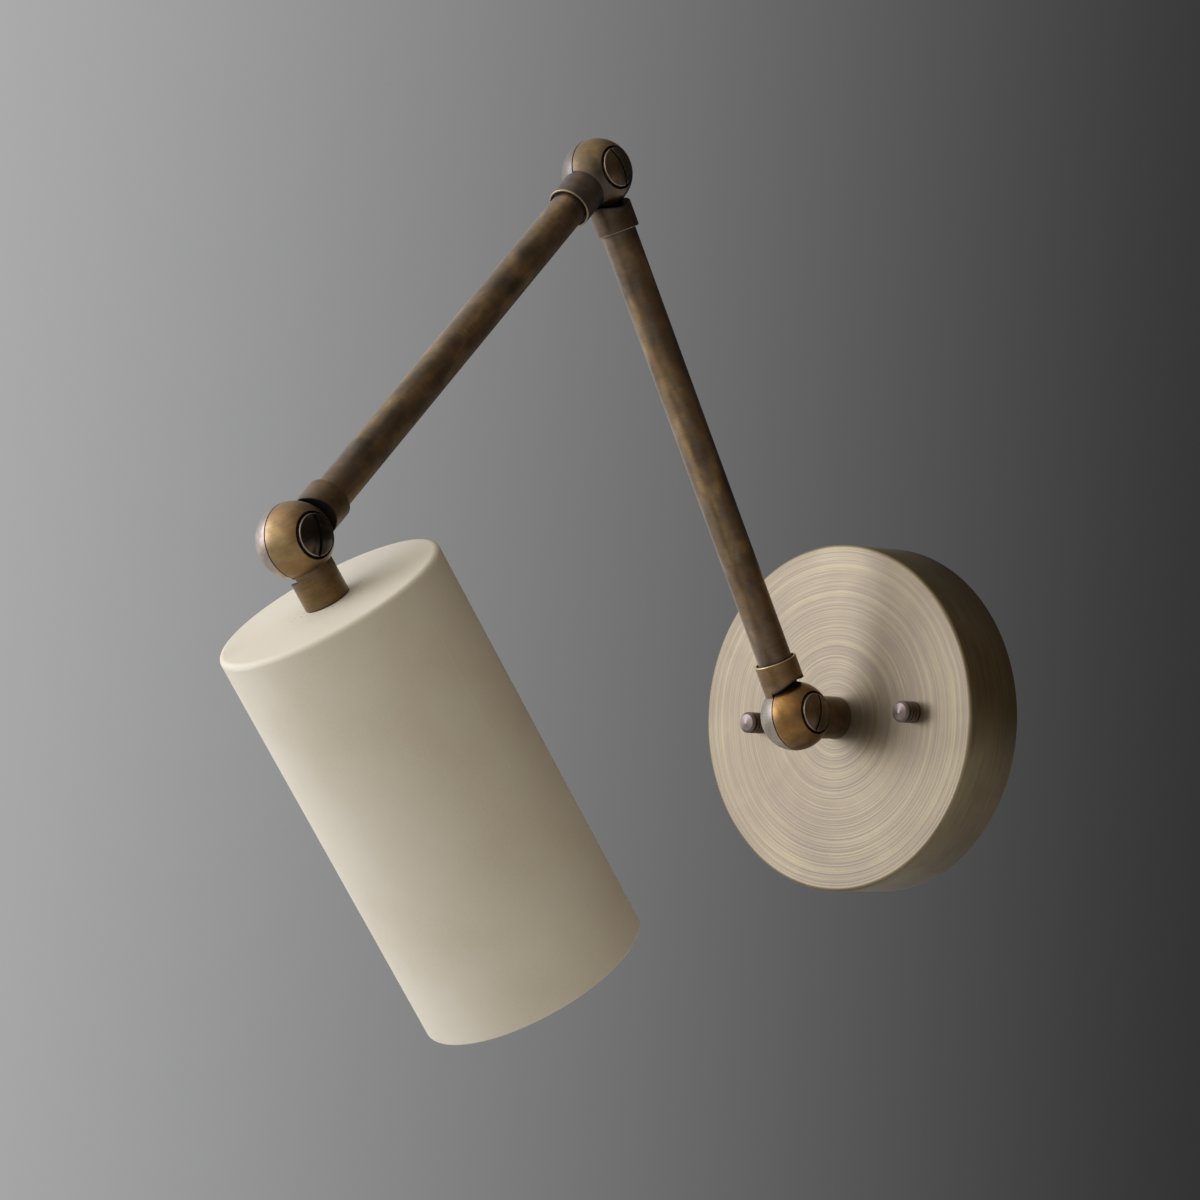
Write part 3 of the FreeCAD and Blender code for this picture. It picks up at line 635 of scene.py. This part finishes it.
def half_masks(origin, side, crown, crown_tint, neck_tint, reach, lip_wear):
    """Masks of a ball half: painted shade in its hollow and recess, the tints of its crown and neck, the neck's
    end.

    side is the half's side of the split along the pivot, crown the direction of its crown, and reach the
    length of its neck.  A collar's lip is worn bright, and a neck without one gets a painted shadow line
    where it stands on the piece that it holds.
    """
    def masks(shader, place, tint):
        about_pivot = shader.local(origin, PIVOT)
        from_pivot = shader.from_axis(about_pivot)
        from_centre = shader.from_origin(place)
        outside = shader.past(from_centre, BALL_RADIUS, OFF_BALL)
        inside = shader.past(from_centre, BALL_RADIUS, INTO_BALL)
        far_side = shader.past(shader.math("MULTIPLY", about_pivot[2], side), 0.0, ACROSS_SPLIT)
        # painted shade: the milled hollow beyond the split and the recess round the screw's head are made dark
        hollow = shader.product(outside, far_side, shader.past(from_pivot, HOLLOW_RADIUS, INTO_HOLLOW))
        seat = shader.product(inside, shader.past(from_pivot, SEAT_RADIUS, INTO_SEAT))
        # grime and painted shade in the corners and gaps
        corners = shader.product(shader.crevice(CORNER_REACH), CORNER_GRIME_AND_SHADE)
        grime_and_shade = shader.largest(hollow, seat, corners)
        worn = 0.0
        end = shader.past(place[2], reach, NECK_END)
        if lip_wear:
            patches = shader.patches(shader.join(*place), *WORN_PATCHES)
            edges = shader.product(shader.edge(WORN_EDGE), patches, outside, lip_wear)
            worn = shader.largest(edges, shader.product(end, lip_wear))
        else:
            # painted shadow line where the neck stands on the piece that it holds
            grime_and_shade = shader.largest(grime_and_shade, end)
        # The crown tint colours one side of the ball.  On the elbow's upper half it is a golden top, partly patina
        # and partly a painted highlight where light falls from above.
        towards_crown = shader.local(origin, crown)[2]
        tint = shader.mix(shader.span(towards_crown, *CROWN_RANGE), tint, crown_tint)
        tint = shader.scale(tint, shader.span(place[2], -BALL_RADIUS, BALL_RADIUS, *BALL_SHADES))
        return shader.mix(outside, tint, neck_tint), worn, WORN_BRASS, grime_and_shade
    return masks


def screw_masks(nicks):
    """Masks of a pivot screw: painted shade in its slot and the depth of its recess, its rim rubbed bright.

    nicks says how bright use has nicked the edges of the slot.
    """
    def masks(shader, place, tint):
        from_pivot = shader.from_axis(place)
        # painted shade: the slot and the depth of the recess are made dark
        slot = shader.product(shader.past(shader.from_origin(place), BALL_RADIUS, INTO_SLOT),
                              shader.past(from_pivot, HEAD_RADIUS, SLOT_END))
        deep = shader.past(place[2], SEAT_SHADE, INTO_SHADE)
        worn = shader.product(shader.past(from_pivot, HEAD_RADIUS, HEAD_RIM), RIM_WEAR)
        if nicks:
            spots = shader.product(shader.patches(shader.join(*place), *NICKS), nicks)
            worn = shader.largest(worn, shader.product(shader.edge(NICKED_EDGE), spots))
        return tint, worn, WORN_RIM, shader.largest(slot, deep)
    return masks


def nut_masks(shader, place, tint):
    """A cap nut: grime and painted shade in its rings, its end rubbed pale."""
    end = shader.past(place[2], NUT_BODY, NUT_END)
    worn = shader.product(end, shader.patches(shader.join(*place), *NUT_PATCHES))
    # grime and painted shade in the crevices of the rings
    return tint, worn, WORN_NUT, shader.product(shader.crevice(NUT_REACH), CORNER_GRIME_AND_SHADE)


# ---- materials: wall cover --------------------------------------------------------------------------

COVER_PALE = (0.322, 0.262, 0.162)
COVER_MID = (0.244, 0.191, 0.128)
COVER_ROSE = (0.202, 0.152, 0.118)
# The side's tints are darker than the face's: painted shade on the cover's side.
COVER_SIDE = (0.236, 0.184, 0.106)
COVER_SIDE_DARK = (0.142, 0.106, 0.058)
FACE_TINTS = (0.36, COVER_ROSE), (0.48, COVER_MID), (0.60, COVER_PALE)
SIDE_TINTS = (0.38, COVER_SIDE_DARK), (0.60, COVER_SIDE)
SIDE_PAINTED_SHADE = (0.72, 1.2)       # painted shade: factors of the side's tint, at the wall and at the face
SIDE_START = (-1.7, -0.5)       # where the face turns into the side, from the cover's radius

RING_DRIFT = (0.05, 2.0)
RING_DRIFT_REACH = 1.4
WIDE_RINGS = (1.0, 3.0, 0.6)
WIDE_RING_SCALE = 0.42
FINE_RINGS = (0.02, 2.4, 4.0, 0.7)              # drawn
FACE_WEIGHTS = (0.46, 0.34, 0.2)                # of the fine rings, the wide ones and the clouds
SIDE_LINES = (0.05, 2.8, 4.0, 0.65)             # drawn
SIDE_WEIGHTS = (0.4, 0.6)                       # of the clouds and the lines
COVER_CLOUDS = (0.035, 3.0, 0.55, 0.5)
COVER_LACQUER = 0.08
COVER_LACQUER_ROUGHNESS = 0.35
COVER_ROUGHNESS = (0.14, 0.40)                  # by the fine rings, and without them
COVER_ANISOTROPY = 0.45
COVER_LINE_DEPTH = 0.02 * MM
COVER_EASED_EDGE = 0.15 * MM
COVER_WORN_EDGE = 0.5 * MM
COVER_EDGE_WEAR = 0.5


def spun_brass():
    """Pale antiqued brass, brushed in rings on the face and round the side.  The side is painted darker, as shade.
    """
    shader = Shader("spun_brass", metallic=1.0, coat_weight=COVER_LACQUER,
                    coat_roughness=COVER_LACQUER_ROUGHNESS)
    place = shader.local(WALL_CENTRE, OUT_OF_WALL)
    x, y, z = place
    point = shader.join(*place)
    radius = shader.from_axis(place)
    ring = shader.math("MULTIPLY_ADD", shader.noise(point, *RING_DRIFT), RING_DRIFT_REACH, radius)
    wide_point = shader.join(shader.math("MULTIPLY", ring, WIDE_RING_SCALE), 0.0, 0.0)
    wide = shader.noise(wide_point, *WIDE_RINGS)
    fine = shader.drawn_noise((x, y, ring), *FINE_RINGS)
    clouds = shader.noise(point, *COVER_CLOUDS)
    face = shader.ramp(shader.weighted((fine, wide, clouds), FACE_WEIGHTS), *FACE_TINTS)
    side_lines = shader.drawn_noise(place, *SIDE_LINES)
    side = shader.ramp(shader.weighted((clouds, side_lines), SIDE_WEIGHTS), *SIDE_TINTS)
    # painted shade: the side darkens towards the wall
    side = shader.scale(side, shader.span(z, 0.0, COVER_DEPTH, *SIDE_PAINTED_SHADE))
    is_side = shader.past(radius, COVER_RADIUS, SIDE_START)
    worn = shader.product(shader.edge(COVER_WORN_EDGE), COVER_EDGE_WEAR)
    shader.set("Base Color", shader.mix(worn, shader.mix(is_side, face, side), COVER_PALE))
    shader.set("Roughness", shader.math("MULTIPLY_ADD", fine, *COVER_ROUGHNESS))
    lines = shader.math("MULTIPLY_ADD", side_lines, is_side, fine)
    shader.set("Normal", shader.bump(lines, COVER_LINE_DEPTH, shader.eased(COVER_EASED_EDGE)))
    shader.set("Anisotropic", COVER_ANISOTROPY)
    from_centre = shader.vector("SUBTRACT", shader.rest_point(), WALL_CENTRE)
    shader.set("Tangent", shader.along(shader.vector("NORMALIZE", from_centre)))
    return shader.material


# ---- materials: painted shade -----------------------------------------------------------------------

CREAM = (0.765, 0.675, 0.512)
CREAM_LIGHT = (0.785, 0.700, 0.538)
CREAM_WARM = (0.730, 0.635, 0.470)
CREAM_TINTS = (0.38, CREAM_WARM), (0.5, CREAM), (0.62, CREAM_LIGHT)
DUST = (0.45, 0.39, 0.30)
SCUFF = (0.22, 0.17, 0.12)

COAT_CLOUDS = (0.03, 3.0, 0.5)
PEBBLE = (1.7, 3.0, 0.55)
COAT_WEIGHTS = (0.7, 0.3)       # of the clouds and the pebble
PEBBLE_ROUGHNESS = (0.3, 0.7, 0.55, 0.68)
PEBBLE_DEPTH = 0.035 * MM
COAT_EASED_EDGE = 0.2 * MM
DUST_SPOTS = (0.9, 2.0, 0.5), (0.74, 0.80, 0.0, 0.25)
SCUFFS = (1.1, 4.0, 0.7, 0.6), (0.57, 0.65, 0.0, 0.7)
SCUFF_RADII = (17.0, 8.5)       # from the shade's axis, where the scuffs by the neck start and are full


def powder_coat():
    """Matte cream powder coat with its fine, even grain, a little dust, and scuffs by the neck."""
    shader = Shader("powder_coat")
    place = shader.local(LAMPHOLDER, SHADE_AXIS)
    point = shader.join(*place)
    pebble = shader.noise(point, *PEBBLE)
    clouds = shader.noise(point, *COAT_CLOUDS)
    colour = shader.ramp(shader.weighted((clouds, pebble), COAT_WEIGHTS), *CREAM_TINTS)
    colour = shader.mix(shader.patches(point, *DUST_SPOTS), colour, DUST)
    by_the_neck = shader.span(shader.from_axis(place), *SCUFF_RADII)
    colour = shader.mix(shader.product(by_the_neck, shader.patches(point, *SCUFFS)), colour, SCUFF)
    shader.set("Base Color", colour)
    shader.set("Roughness", shader.span(pebble, *PEBBLE_ROUGHNESS))
    shader.set("Normal", shader.bump(pebble, PEBBLE_DEPTH, shader.eased(COAT_EASED_EDGE)))
    return shader.material


# ---- materials: what is inside and behind -----------------------------------------------------------

METAL_CORNER = 1.5 * MM
METAL_CORNER_GRIME_AND_SHADE = 0.6
ZINC = (0.52, 0.53, 0.55)
SPRING_STEEL = (0.22, 0.22, 0.23)
BRIGHTEST = 0.9
STEEL_CLOUDS = (0.25, 4.0, 0.6, 0.5)
STEEL_CLOUD_RANGE = (0.35, 0.65)
STEEL_CLOUD_SHADE = 0.72        # this and the next two are factors of the tint
STEEL_CORNER_SHADE = 0.3
STEEL_EDGE_SHADE = 1.3
STEEL_EDGE_WEAR = 0.4
STEEL_WORN_EDGE = 0.2 * MM
STEEL_ROUGHNESS = (0.2, 0.28)   # by the clouds, and without them
STEEL_LINES = (0.4, 6.0, 3.0)   # drawn
STEEL_LINE_DEPTH = 0.015 * MM
STEEL_EASED_EDGE = 0.1 * MM


def shade_of(tint, factor):
    """A darker or brighter shade of a metal's tint."""
    return tuple(min(factor * part, BRIGHTEST) for part in tint)


def plated_steel(name, tint, origin, axis):
    """Plated or oiled steel: faint turned lines, a cloudy tint and brighter edges."""
    shader = Shader(name, metallic=1.0)
    place = shader.local(origin, axis)
    clouds = shader.noise(shader.join(*place), *STEEL_CLOUDS)
    colour = shader.mix(shader.span(clouds, *STEEL_CLOUD_RANGE), shade_of(tint, STEEL_CLOUD_SHADE), tint)
    # grime and painted shade darken the corners
    corners = shader.product(shader.crevice(METAL_CORNER), METAL_CORNER_GRIME_AND_SHADE)
    colour = shader.mix(corners, colour, shade_of(tint, STEEL_CORNER_SHADE))
    worn = shader.product(shader.edge(STEEL_WORN_EDGE), STEEL_EDGE_WEAR)
    shader.set("Base Color", shader.mix(worn, colour, shade_of(tint, STEEL_EDGE_SHADE)))
    shader.set("Roughness", shader.math("MULTIPLY_ADD", clouds, *STEEL_ROUGHNESS))
    lines = shader.drawn_noise(place, *STEEL_LINES)
    shader.set("Normal", shader.bump(lines, STEEL_LINE_DEPTH, shader.eased(STEEL_EASED_EDGE)))
    return shader.material


BRASS_TINTS = (0.35, (0.50, 0.33, 0.14)), (0.55, (0.80, 0.58, 0.27))
BRASS_GRIME_AND_SHADE = (0.25, 0.15, 0.06)
TARNISH = (0.3, 4.0, 0.6, 0.6)
TARNISH_ROUGHNESS = (0.3, 0.7, 0.36, 0.2)
BRASS_LINES = (0.4, 5.0, 3.0)   # drawn
BRASS_LINE_DEPTH = 0.012 * MM
BRASS_EASED_EDGE = 0.12 * MM


def rolled_brass():
    """Bright brass with drawn lines and a little tarnish."""
    shader = Shader("rolled_brass", metallic=1.0)
    place = shader.local(LAMPHOLDER, SHADE_AXIS)
    tarnish = shader.noise(shader.join(*place), *TARNISH)
    # grime and painted shade darken the corners
    corners = shader.product(shader.crevice(METAL_CORNER), METAL_CORNER_GRIME_AND_SHADE)
    shader.set("Base Color", shader.mix(corners, shader.ramp(tarnish, *BRASS_TINTS), BRASS_GRIME_AND_SHADE))
    shader.set("Roughness", shader.span(tarnish, *TARNISH_ROUGHNESS))
    lines = shader.drawn_noise(place, *BRASS_LINES)
    shader.set("Normal", shader.bump(lines, BRASS_LINE_DEPTH, shader.eased(BRASS_EASED_EDGE)))
    return shader.material


PHENOLIC_TINTS = (0.35, (0.012, 0.011, 0.010)), (0.65, (0.028, 0.024, 0.021))
PHENOLIC_FLOW = (0.2, 4.0, 0.6, 1.5)
PHENOLIC_ROUGHNESS = (0.3, 0.7, 0.30, 0.44)
PHENOLIC_SKIN = (2.5, 2.0)
PHENOLIC_SKIN_DEPTH = 0.015 * MM
PHENOLIC_EASED_EDGE = 0.3 * MM


def phenolic():
    """Black moulded phenolic with a faint flow pattern."""
    shader = Shader("phenolic")
    point = shader.join(*shader.local(LAMPHOLDER, SHADE_AXIS))
    flow = shader.noise(point, *PHENOLIC_FLOW)
    shader.set("Base Color", shader.ramp(flow, *PHENOLIC_TINTS))
    shader.set("Roughness", shader.span(flow, *PHENOLIC_ROUGHNESS))
    skin = shader.noise(point, *PHENOLIC_SKIN)
    shader.set("Normal", shader.bump(skin, PHENOLIC_SKIN_DEPTH, shader.eased(PHENOLIC_EASED_EDGE)))
    return shader.material


FIBRE_TINTS = (0.35, (0.085, 0.035, 0.022)), (0.65, (0.17, 0.08, 0.05))
FIBRE_ROUGHNESS = 0.75
FIBRE_HAIRS = (1.2, 5.0, 0.7, 1.0)
HAIR_STRETCH = 4.0
HAIR_DEPTH = 0.03 * MM


def vulcanised_fibre():
    """Dark red-brown fibre with a pressed, slightly hairy surface."""
    shader = Shader("vulcanised_fibre", roughness=FIBRE_ROUGHNESS)
    x, y, z = shader.local(SHOULDER, PIVOT)
    point = shader.join(x, shader.math("MULTIPLY", y, HAIR_STRETCH), z)
    hairs = shader.noise(point, *FIBRE_HAIRS)
    shader.set("Base Color", shader.ramp(hairs, *FIBRE_TINTS))
    shader.set("Normal", shader.bump(hairs, HAIR_DEPTH))
    return shader.material


GREEN_TINTS = (0.35, (0.010, 0.12, 0.035)), (0.65, (0.025, 0.23, 0.075))
BARE_STEEL = (0.5, 0.5, 0.48)
GREEN_CLOUDS = (0.8, 4.0, 0.6)
GREEN_LACQUER = 0.2
GREEN_LACQUER_ROUGHNESS = 0.2
GREEN_ROUGHNESS = (0.3, 0.7, 0.25, 0.4)
GREEN_METALLIC = (0.5, 0.45)    # by the wear, and without it
GREEN_WEAR = (0.4, 0.55)        # part of the clouds where an edge is worn
GREEN_WORN_EDGE = 0.25 * MM
GREEN_EASED_EDGE = 0.12 * MM


def ground_green():
    """Green dyed screw with bare metal on its worn edges."""
    shader = Shader("ground_green", coat_weight=GREEN_LACQUER, coat_roughness=GREEN_LACQUER_ROUGHNESS)
    clouds = shader.noise(shader.join(*shader.local(WALL_CENTRE, OUT_OF_WALL)), *GREEN_CLOUDS)
    worn = shader.product(shader.edge(GREEN_WORN_EDGE), shader.span(clouds, *GREEN_WEAR))
    shader.set("Base Color", shader.mix(worn, shader.ramp(clouds, *GREEN_TINTS), BARE_STEEL))
    shader.set("Metallic", shader.math("MULTIPLY_ADD", worn, *GREEN_METALLIC))
    shader.set("Roughness", shader.span(clouds, *GREEN_ROUGHNESS))
    shader.set("Normal", shader.eased(GREEN_EASED_EDGE))
    return shader.material


PAPER_TINTS = (0.3, (0.71, 0.71, 0.70)), (0.7, (0.73, 0.73, 0.72))
PAPER_ROUGHNESS = 0.9
PAPER_FIBRES = (40.0, 4.0)


def floor_paper():
    """Plain pale paper.  Its texture's scale is in 1/m."""
    shader = Shader("floor_paper", roughness=PAPER_ROUGHNESS)
    fibres = shader.noise(shader.rest_point(), *PAPER_FIBRES)
    shader.set("Base Color", shader.ramp(fibres, *PAPER_TINTS))
    return shader.material


# ---- pieces that the looks need in finer form -------------------------------------------------------

# The wall cover's sheet, in millimetres.
COVER_WALL = 1.2
COVER_EDGE = 1.3
COVER_INNER_EDGE = 0.6
COVER_ARC_STEPS = 8
COVER_SEGMENTS = 216
NIPPLE_HOLE = 5.2
STUD_HOLE = 2.3

# The spun rings on its face are a few waves: pitch and height in millimetres, and phase in radians.
RING_WAVES = (
    (3.1, 0.003, 0.4),
    (2.05, 0.005, 1.9),
    (1.31, 0.008, 3.1),
    (0.94, 0.007, 0.2),
    (0.71, 0.004, 2.3),
)
RING_STEP = 0.15
RING_FADE_STEPS = 4             # in which the rings rise from the cover's edge


def cover_relief(radius):
    """Depth in millimetres of the spun rings at a radius, never proud of the face."""
    depth = 0
    for pitch, height, phase in RING_WAVES:
        depth -= height * (1 + math.sin(2 * math.pi * radius / pitch + phase))
    return depth


def arc(radius, height, rounding, start, end):
    """Outline points of a rounded edge about a point, from one angle to another in degrees."""
    points = []
    for k in range(COVER_ARC_STEPS + 1):
        turn = math.radians(start + (end - start) * k / COVER_ARC_STEPS)
        points.append((radius + rounding * math.cos(turn), height + rounding * math.sin(turn)))
    return points


def make_spun_cover(material):
    """The wall cover with the low rings that spinning leaves on its face."""
    low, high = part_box("wall_cover")
    outer = (high.x - low.x) / 2 / MM
    depth = (high.y - low.y) / MM
    inner = outer - COVER_WALL
    face = outer - COVER_EDGE
    inner_depth = depth - COVER_WALL
    outline = [(0, inner_depth)]
    outline += arc(inner - COVER_INNER_EDGE, inner_depth - COVER_INNER_EDGE, COVER_INNER_EDGE, 90, 0)
    outline += [(inner, 0), (outer, 0)]
    outline += arc(face, depth - COVER_EDGE, COVER_EDGE, 0, 90)
    steps = int(face / RING_STEP)
    for k in range(1, steps):
        radius = face * (1 - k / steps)
        outline.append((radius, depth + min(1, k / RING_FADE_STEPS) * cover_relief(radius)))
    outline.append((0, depth + cover_relief(0)))
    cover = make_turned("spun_cover", outline, WALL_CENTRE, OUT_OF_WALL, COVER_SEGMENTS, material,
                        "wall_mount", "wall_cover")
    drill(cover, WALL_CENTRE, OUT_OF_WALL, NIPPLE_HOLE * MM, 2 * depth * MM)
    for stud in ("stud_left", "stud_right"):
        centre = Vector((middle_of(stud).x, 0, 0))
        drill(cover, centre, OUT_OF_WALL, STUD_HOLE * MM, 2 * depth * MM)


# Threads in millimetres: pitch, and depth from crest to root.
STUD_THREAD = (0.8, 0.45)
NIPPLE_THREAD = (1.0, 0.55)
LAMP_THREAD = (3.63, 0.8)
NIPPLE_BORE = 3.6
LAMP_SHELL_WALL = 0.5
THREAD_STEPS = 8                # rows of faces in one pitch of a cut thread
ROLLED_STEPS = 16               # the same for a rolled one
THREAD_SEGMENTS = 48
ROLLED_SEGMENTS = 96


def thread_rows(crest, low, high, thread, steps, rolled):
    """Rows of a helical thread for lathe(), from low to high.  It runs out over a pitch at each end."""
    pitch, depth = thread

    def groove(height, turn):
        phase = (height / pitch - turn) % 1
        if rolled:
            cut = (1 + math.cos(2 * math.pi * phase)) / 2
        else:
            cut = abs(2 * phase - 1)
        run_out = 1 - min(height - low, high - height) / pitch
        return depth * max(cut, run_out)

    count = math.ceil((high - low) / pitch * steps)
    heights = [low + (high - low) * k / count for k in range(count + 1)]
    return [(lambda turn, height=height: crest - groove(height, turn), height) for height in heights]


def make_threaded(node, body, origin, axis, material, thread, bore=0.0):
    """A threaded rod or pipe.  The crest of its thread is the plain cylinder that it replaces."""
    low, high = -reach_along(node, origin, -axis), reach_along(node, origin, axis)
    rows = thread_rows(reach_about(node, origin, axis), low, high, thread, THREAD_STEPS, rolled=False)
    ends = [(bore, high), (bore, low)]
    make_turned(node + "_thread", rows + ends, origin, axis, THREAD_SEGMENTS, material, body, node)


def make_rolled_shell(node, body, origin, axis, material):
    """The lampholder's thread shell, rolled from thin sheet, so that its inside follows its outside."""
    low, high = -reach_along(node, origin, -axis), reach_along(node, origin, axis)
    crest = reach_about(node, origin, axis)
    outer = thread_rows(crest, low, high, LAMP_THREAD, ROLLED_STEPS, rolled=True)
    inner = thread_rows(crest - LAMP_SHELL_WALL, low, high, LAMP_THREAD, ROLLED_STEPS, rolled=True)
    outline = outer + inner[::-1]
    make_turned(node + "_rolled", outline, origin, axis, ROLLED_SEGMENTS, material, body, node)


def make_threads(zinc, shade_zinc, brass):
    """The pieces whose threads show when the lamp is taken apart or looked into."""
    for node in ("stud_left", "stud_right"):
        make_threaded(node, "wall_mount", middle_of(node), OUT_OF_WALL, zinc, STUD_THREAD)
    make_threaded("cover_nipple", "swivel_neck", SHOULDER, -OUT_OF_WALL, zinc, NIPPLE_THREAD, NIPPLE_BORE)
    make_threaded("shade_nipple", "shade", SHADE_JOINT, SHADE_AXIS, shade_zinc, NIPPLE_THREAD, NIPPLE_BORE)
    make_rolled_shell("lampholder_thread_shell", "shade", LAMPHOLDER, SHADE_AXIS, brass)


# ---- put it together --------------------------------------------------------------------------------

def dress(material, *names):
    """Give a material to CAD nodes."""
    for name in names:
        node = NODES[name]
        node.data.materials.clear()
        node.data.materials.append(material)


def dress_bronze():
    """Each bronze piece gets the finish drawn about its own axis."""
    # Each half: its side of the split, the directions of its neck and crown, how worn its lip is, and the
    # tints of its crown, its ball and its neck.
    halves = (
        ("shoulder_neck_half", SHOULDER, 1, -OUT_OF_WALL, -LOWER_ARM, 0.0,
         BRONZE_RED, BRONZE_RED, BRONZE),
        ("shoulder_arm_half", SHOULDER, -1, LOWER_ARM, OUT_OF_WALL, 0.8,
         BRONZE_PALE, BRONZE_PALE, BRONZE_TAWNY),
        ("elbow_upper_half", ELBOW, 1, UPPER_ARM, LOWER_ARM, 0.45,
         BRONZE_GOLDEN, BRONZE_UMBER, BRONZE_SMOKED),
        ("elbow_lower_half", ELBOW, -1, -LOWER_ARM, -UPPER_ARM, 0.45,
         BRONZE_SILVERY, BRONZE_SILVERY, BRONZE_DARK),
        ("shade_joint_neck_half", SHADE_JOINT, 1, SHADE_AXIS, UPPER_ARM, 0.0,
         BRONZE_GOLDEN, BRONZE_TAWNY, BRONZE_BROWN),
        ("shade_joint_arm_half", SHADE_JOINT, -1, -UPPER_ARM, -SHADE_AXIS, 0.2,
         BRONZE_ROSE, BRONZE_ROSE, BRONZE),
    )
    for name, origin, side, axis, crown, lip_wear, crown_tint, tint, neck_tint in halves:
        reach = reach_along(name, origin, axis)
        masks = half_masks(origin, side, crown, crown_tint, neck_tint, reach, lip_wear)
        dress(bronze(name + "_bronze", origin, axis, tint, BALL_FINISH, masks), name)
    tubes = (
        ("lower_arm_tube", SHOULDER, LOWER_ARM),
        ("upper_arm_tube", ELBOW, UPPER_ARM),
    )
    for name, origin, axis in tubes:
        dress(bronze(name + "_bronze", origin, axis, BRONZE, TUBE_FINISH, tube_masks), name)
    # Each screw: its tint, and how bright its slot is nicked.
    screws = (
        ("shoulder_screw", SHOULDER, BRONZE, 1.0),
        ("elbow_screw", ELBOW, BRONZE_DARK, 0.6),
        ("shade_joint_screw", SHADE_JOINT, BRONZE_BLACK, 0.0),
    )
    for name, origin, tint, nicks in screws:
        dress(bronze(name + "_bronze", origin, PIVOT, tint, SCREW_FINISH, screw_masks(nicks)), name)
    for name in ("cap_nut_left", "cap_nut_right"):
        origin = middle_of(name)
        origin.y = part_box(name)[1].y
        dress(bronze(name + "_bronze", origin, OUT_OF_WALL, BRONZE_DARK, NUT_FINISH, nut_masks), name)


def dress_hidden():
    """Fixings, washers and the lampholder."""
    zinc = plated_steel("zinc_plate", ZINC, WALL_CENTRE, OUT_OF_WALL)
    dress(zinc, "wall_bracket", "stud_nut_left", "stud_nut_right", "cover_washer", "cover_locknut")
    shade_zinc = plated_steel("zinc_plate_shade", ZINC, LAMPHOLDER, SHADE_AXIS)
    dress(shade_zinc, "shade_washer", "shade_locknut")
    spring = plated_steel("spring_steel", SPRING_STEEL, SHOULDER, PIVOT)
    dress(spring, "cover_lock_washer", "shoulder_spring_washer", "elbow_spring_washer",
          "shade_joint_spring_washer")
    dress(vulcanised_fibre(), "shoulder_friction_washer", "elbow_friction_washer",
          "shade_joint_friction_washer")
    dress(phenolic(), "lampholder_body")
    brass = rolled_brass()
    dress(brass, "lampholder_cap", "lampholder_contact")
    dress(ground_green(), "ground_screw")
    make_threads(zinc, shade_zinc, brass)


def make_floor():
    """Plain pale floor, well below the lamp."""
    outline = [(0, 0), (FLOOR_RADIUS, 0), (FLOOR_RADIUS, -FLOOR_THICKNESS), (0, -FLOOR_THICKNESS)]
    centre = Vector((0, 0, FLOOR_HEIGHT))
    floor = make_object("floor", *lathe(outline, centre, Vector((0, 0, 1)), FLOOR_SEGMENTS))
    floor.data.materials.append(floor_paper())


bpy.context.scene.view_settings.view_transform = "Standard"
make_camera()
make_world()
make_key_light()
make_floor()
make_spun_cover(spun_brass())
dress(powder_coat(), "shade_shell")
dress_bronze()
dress_hidden()
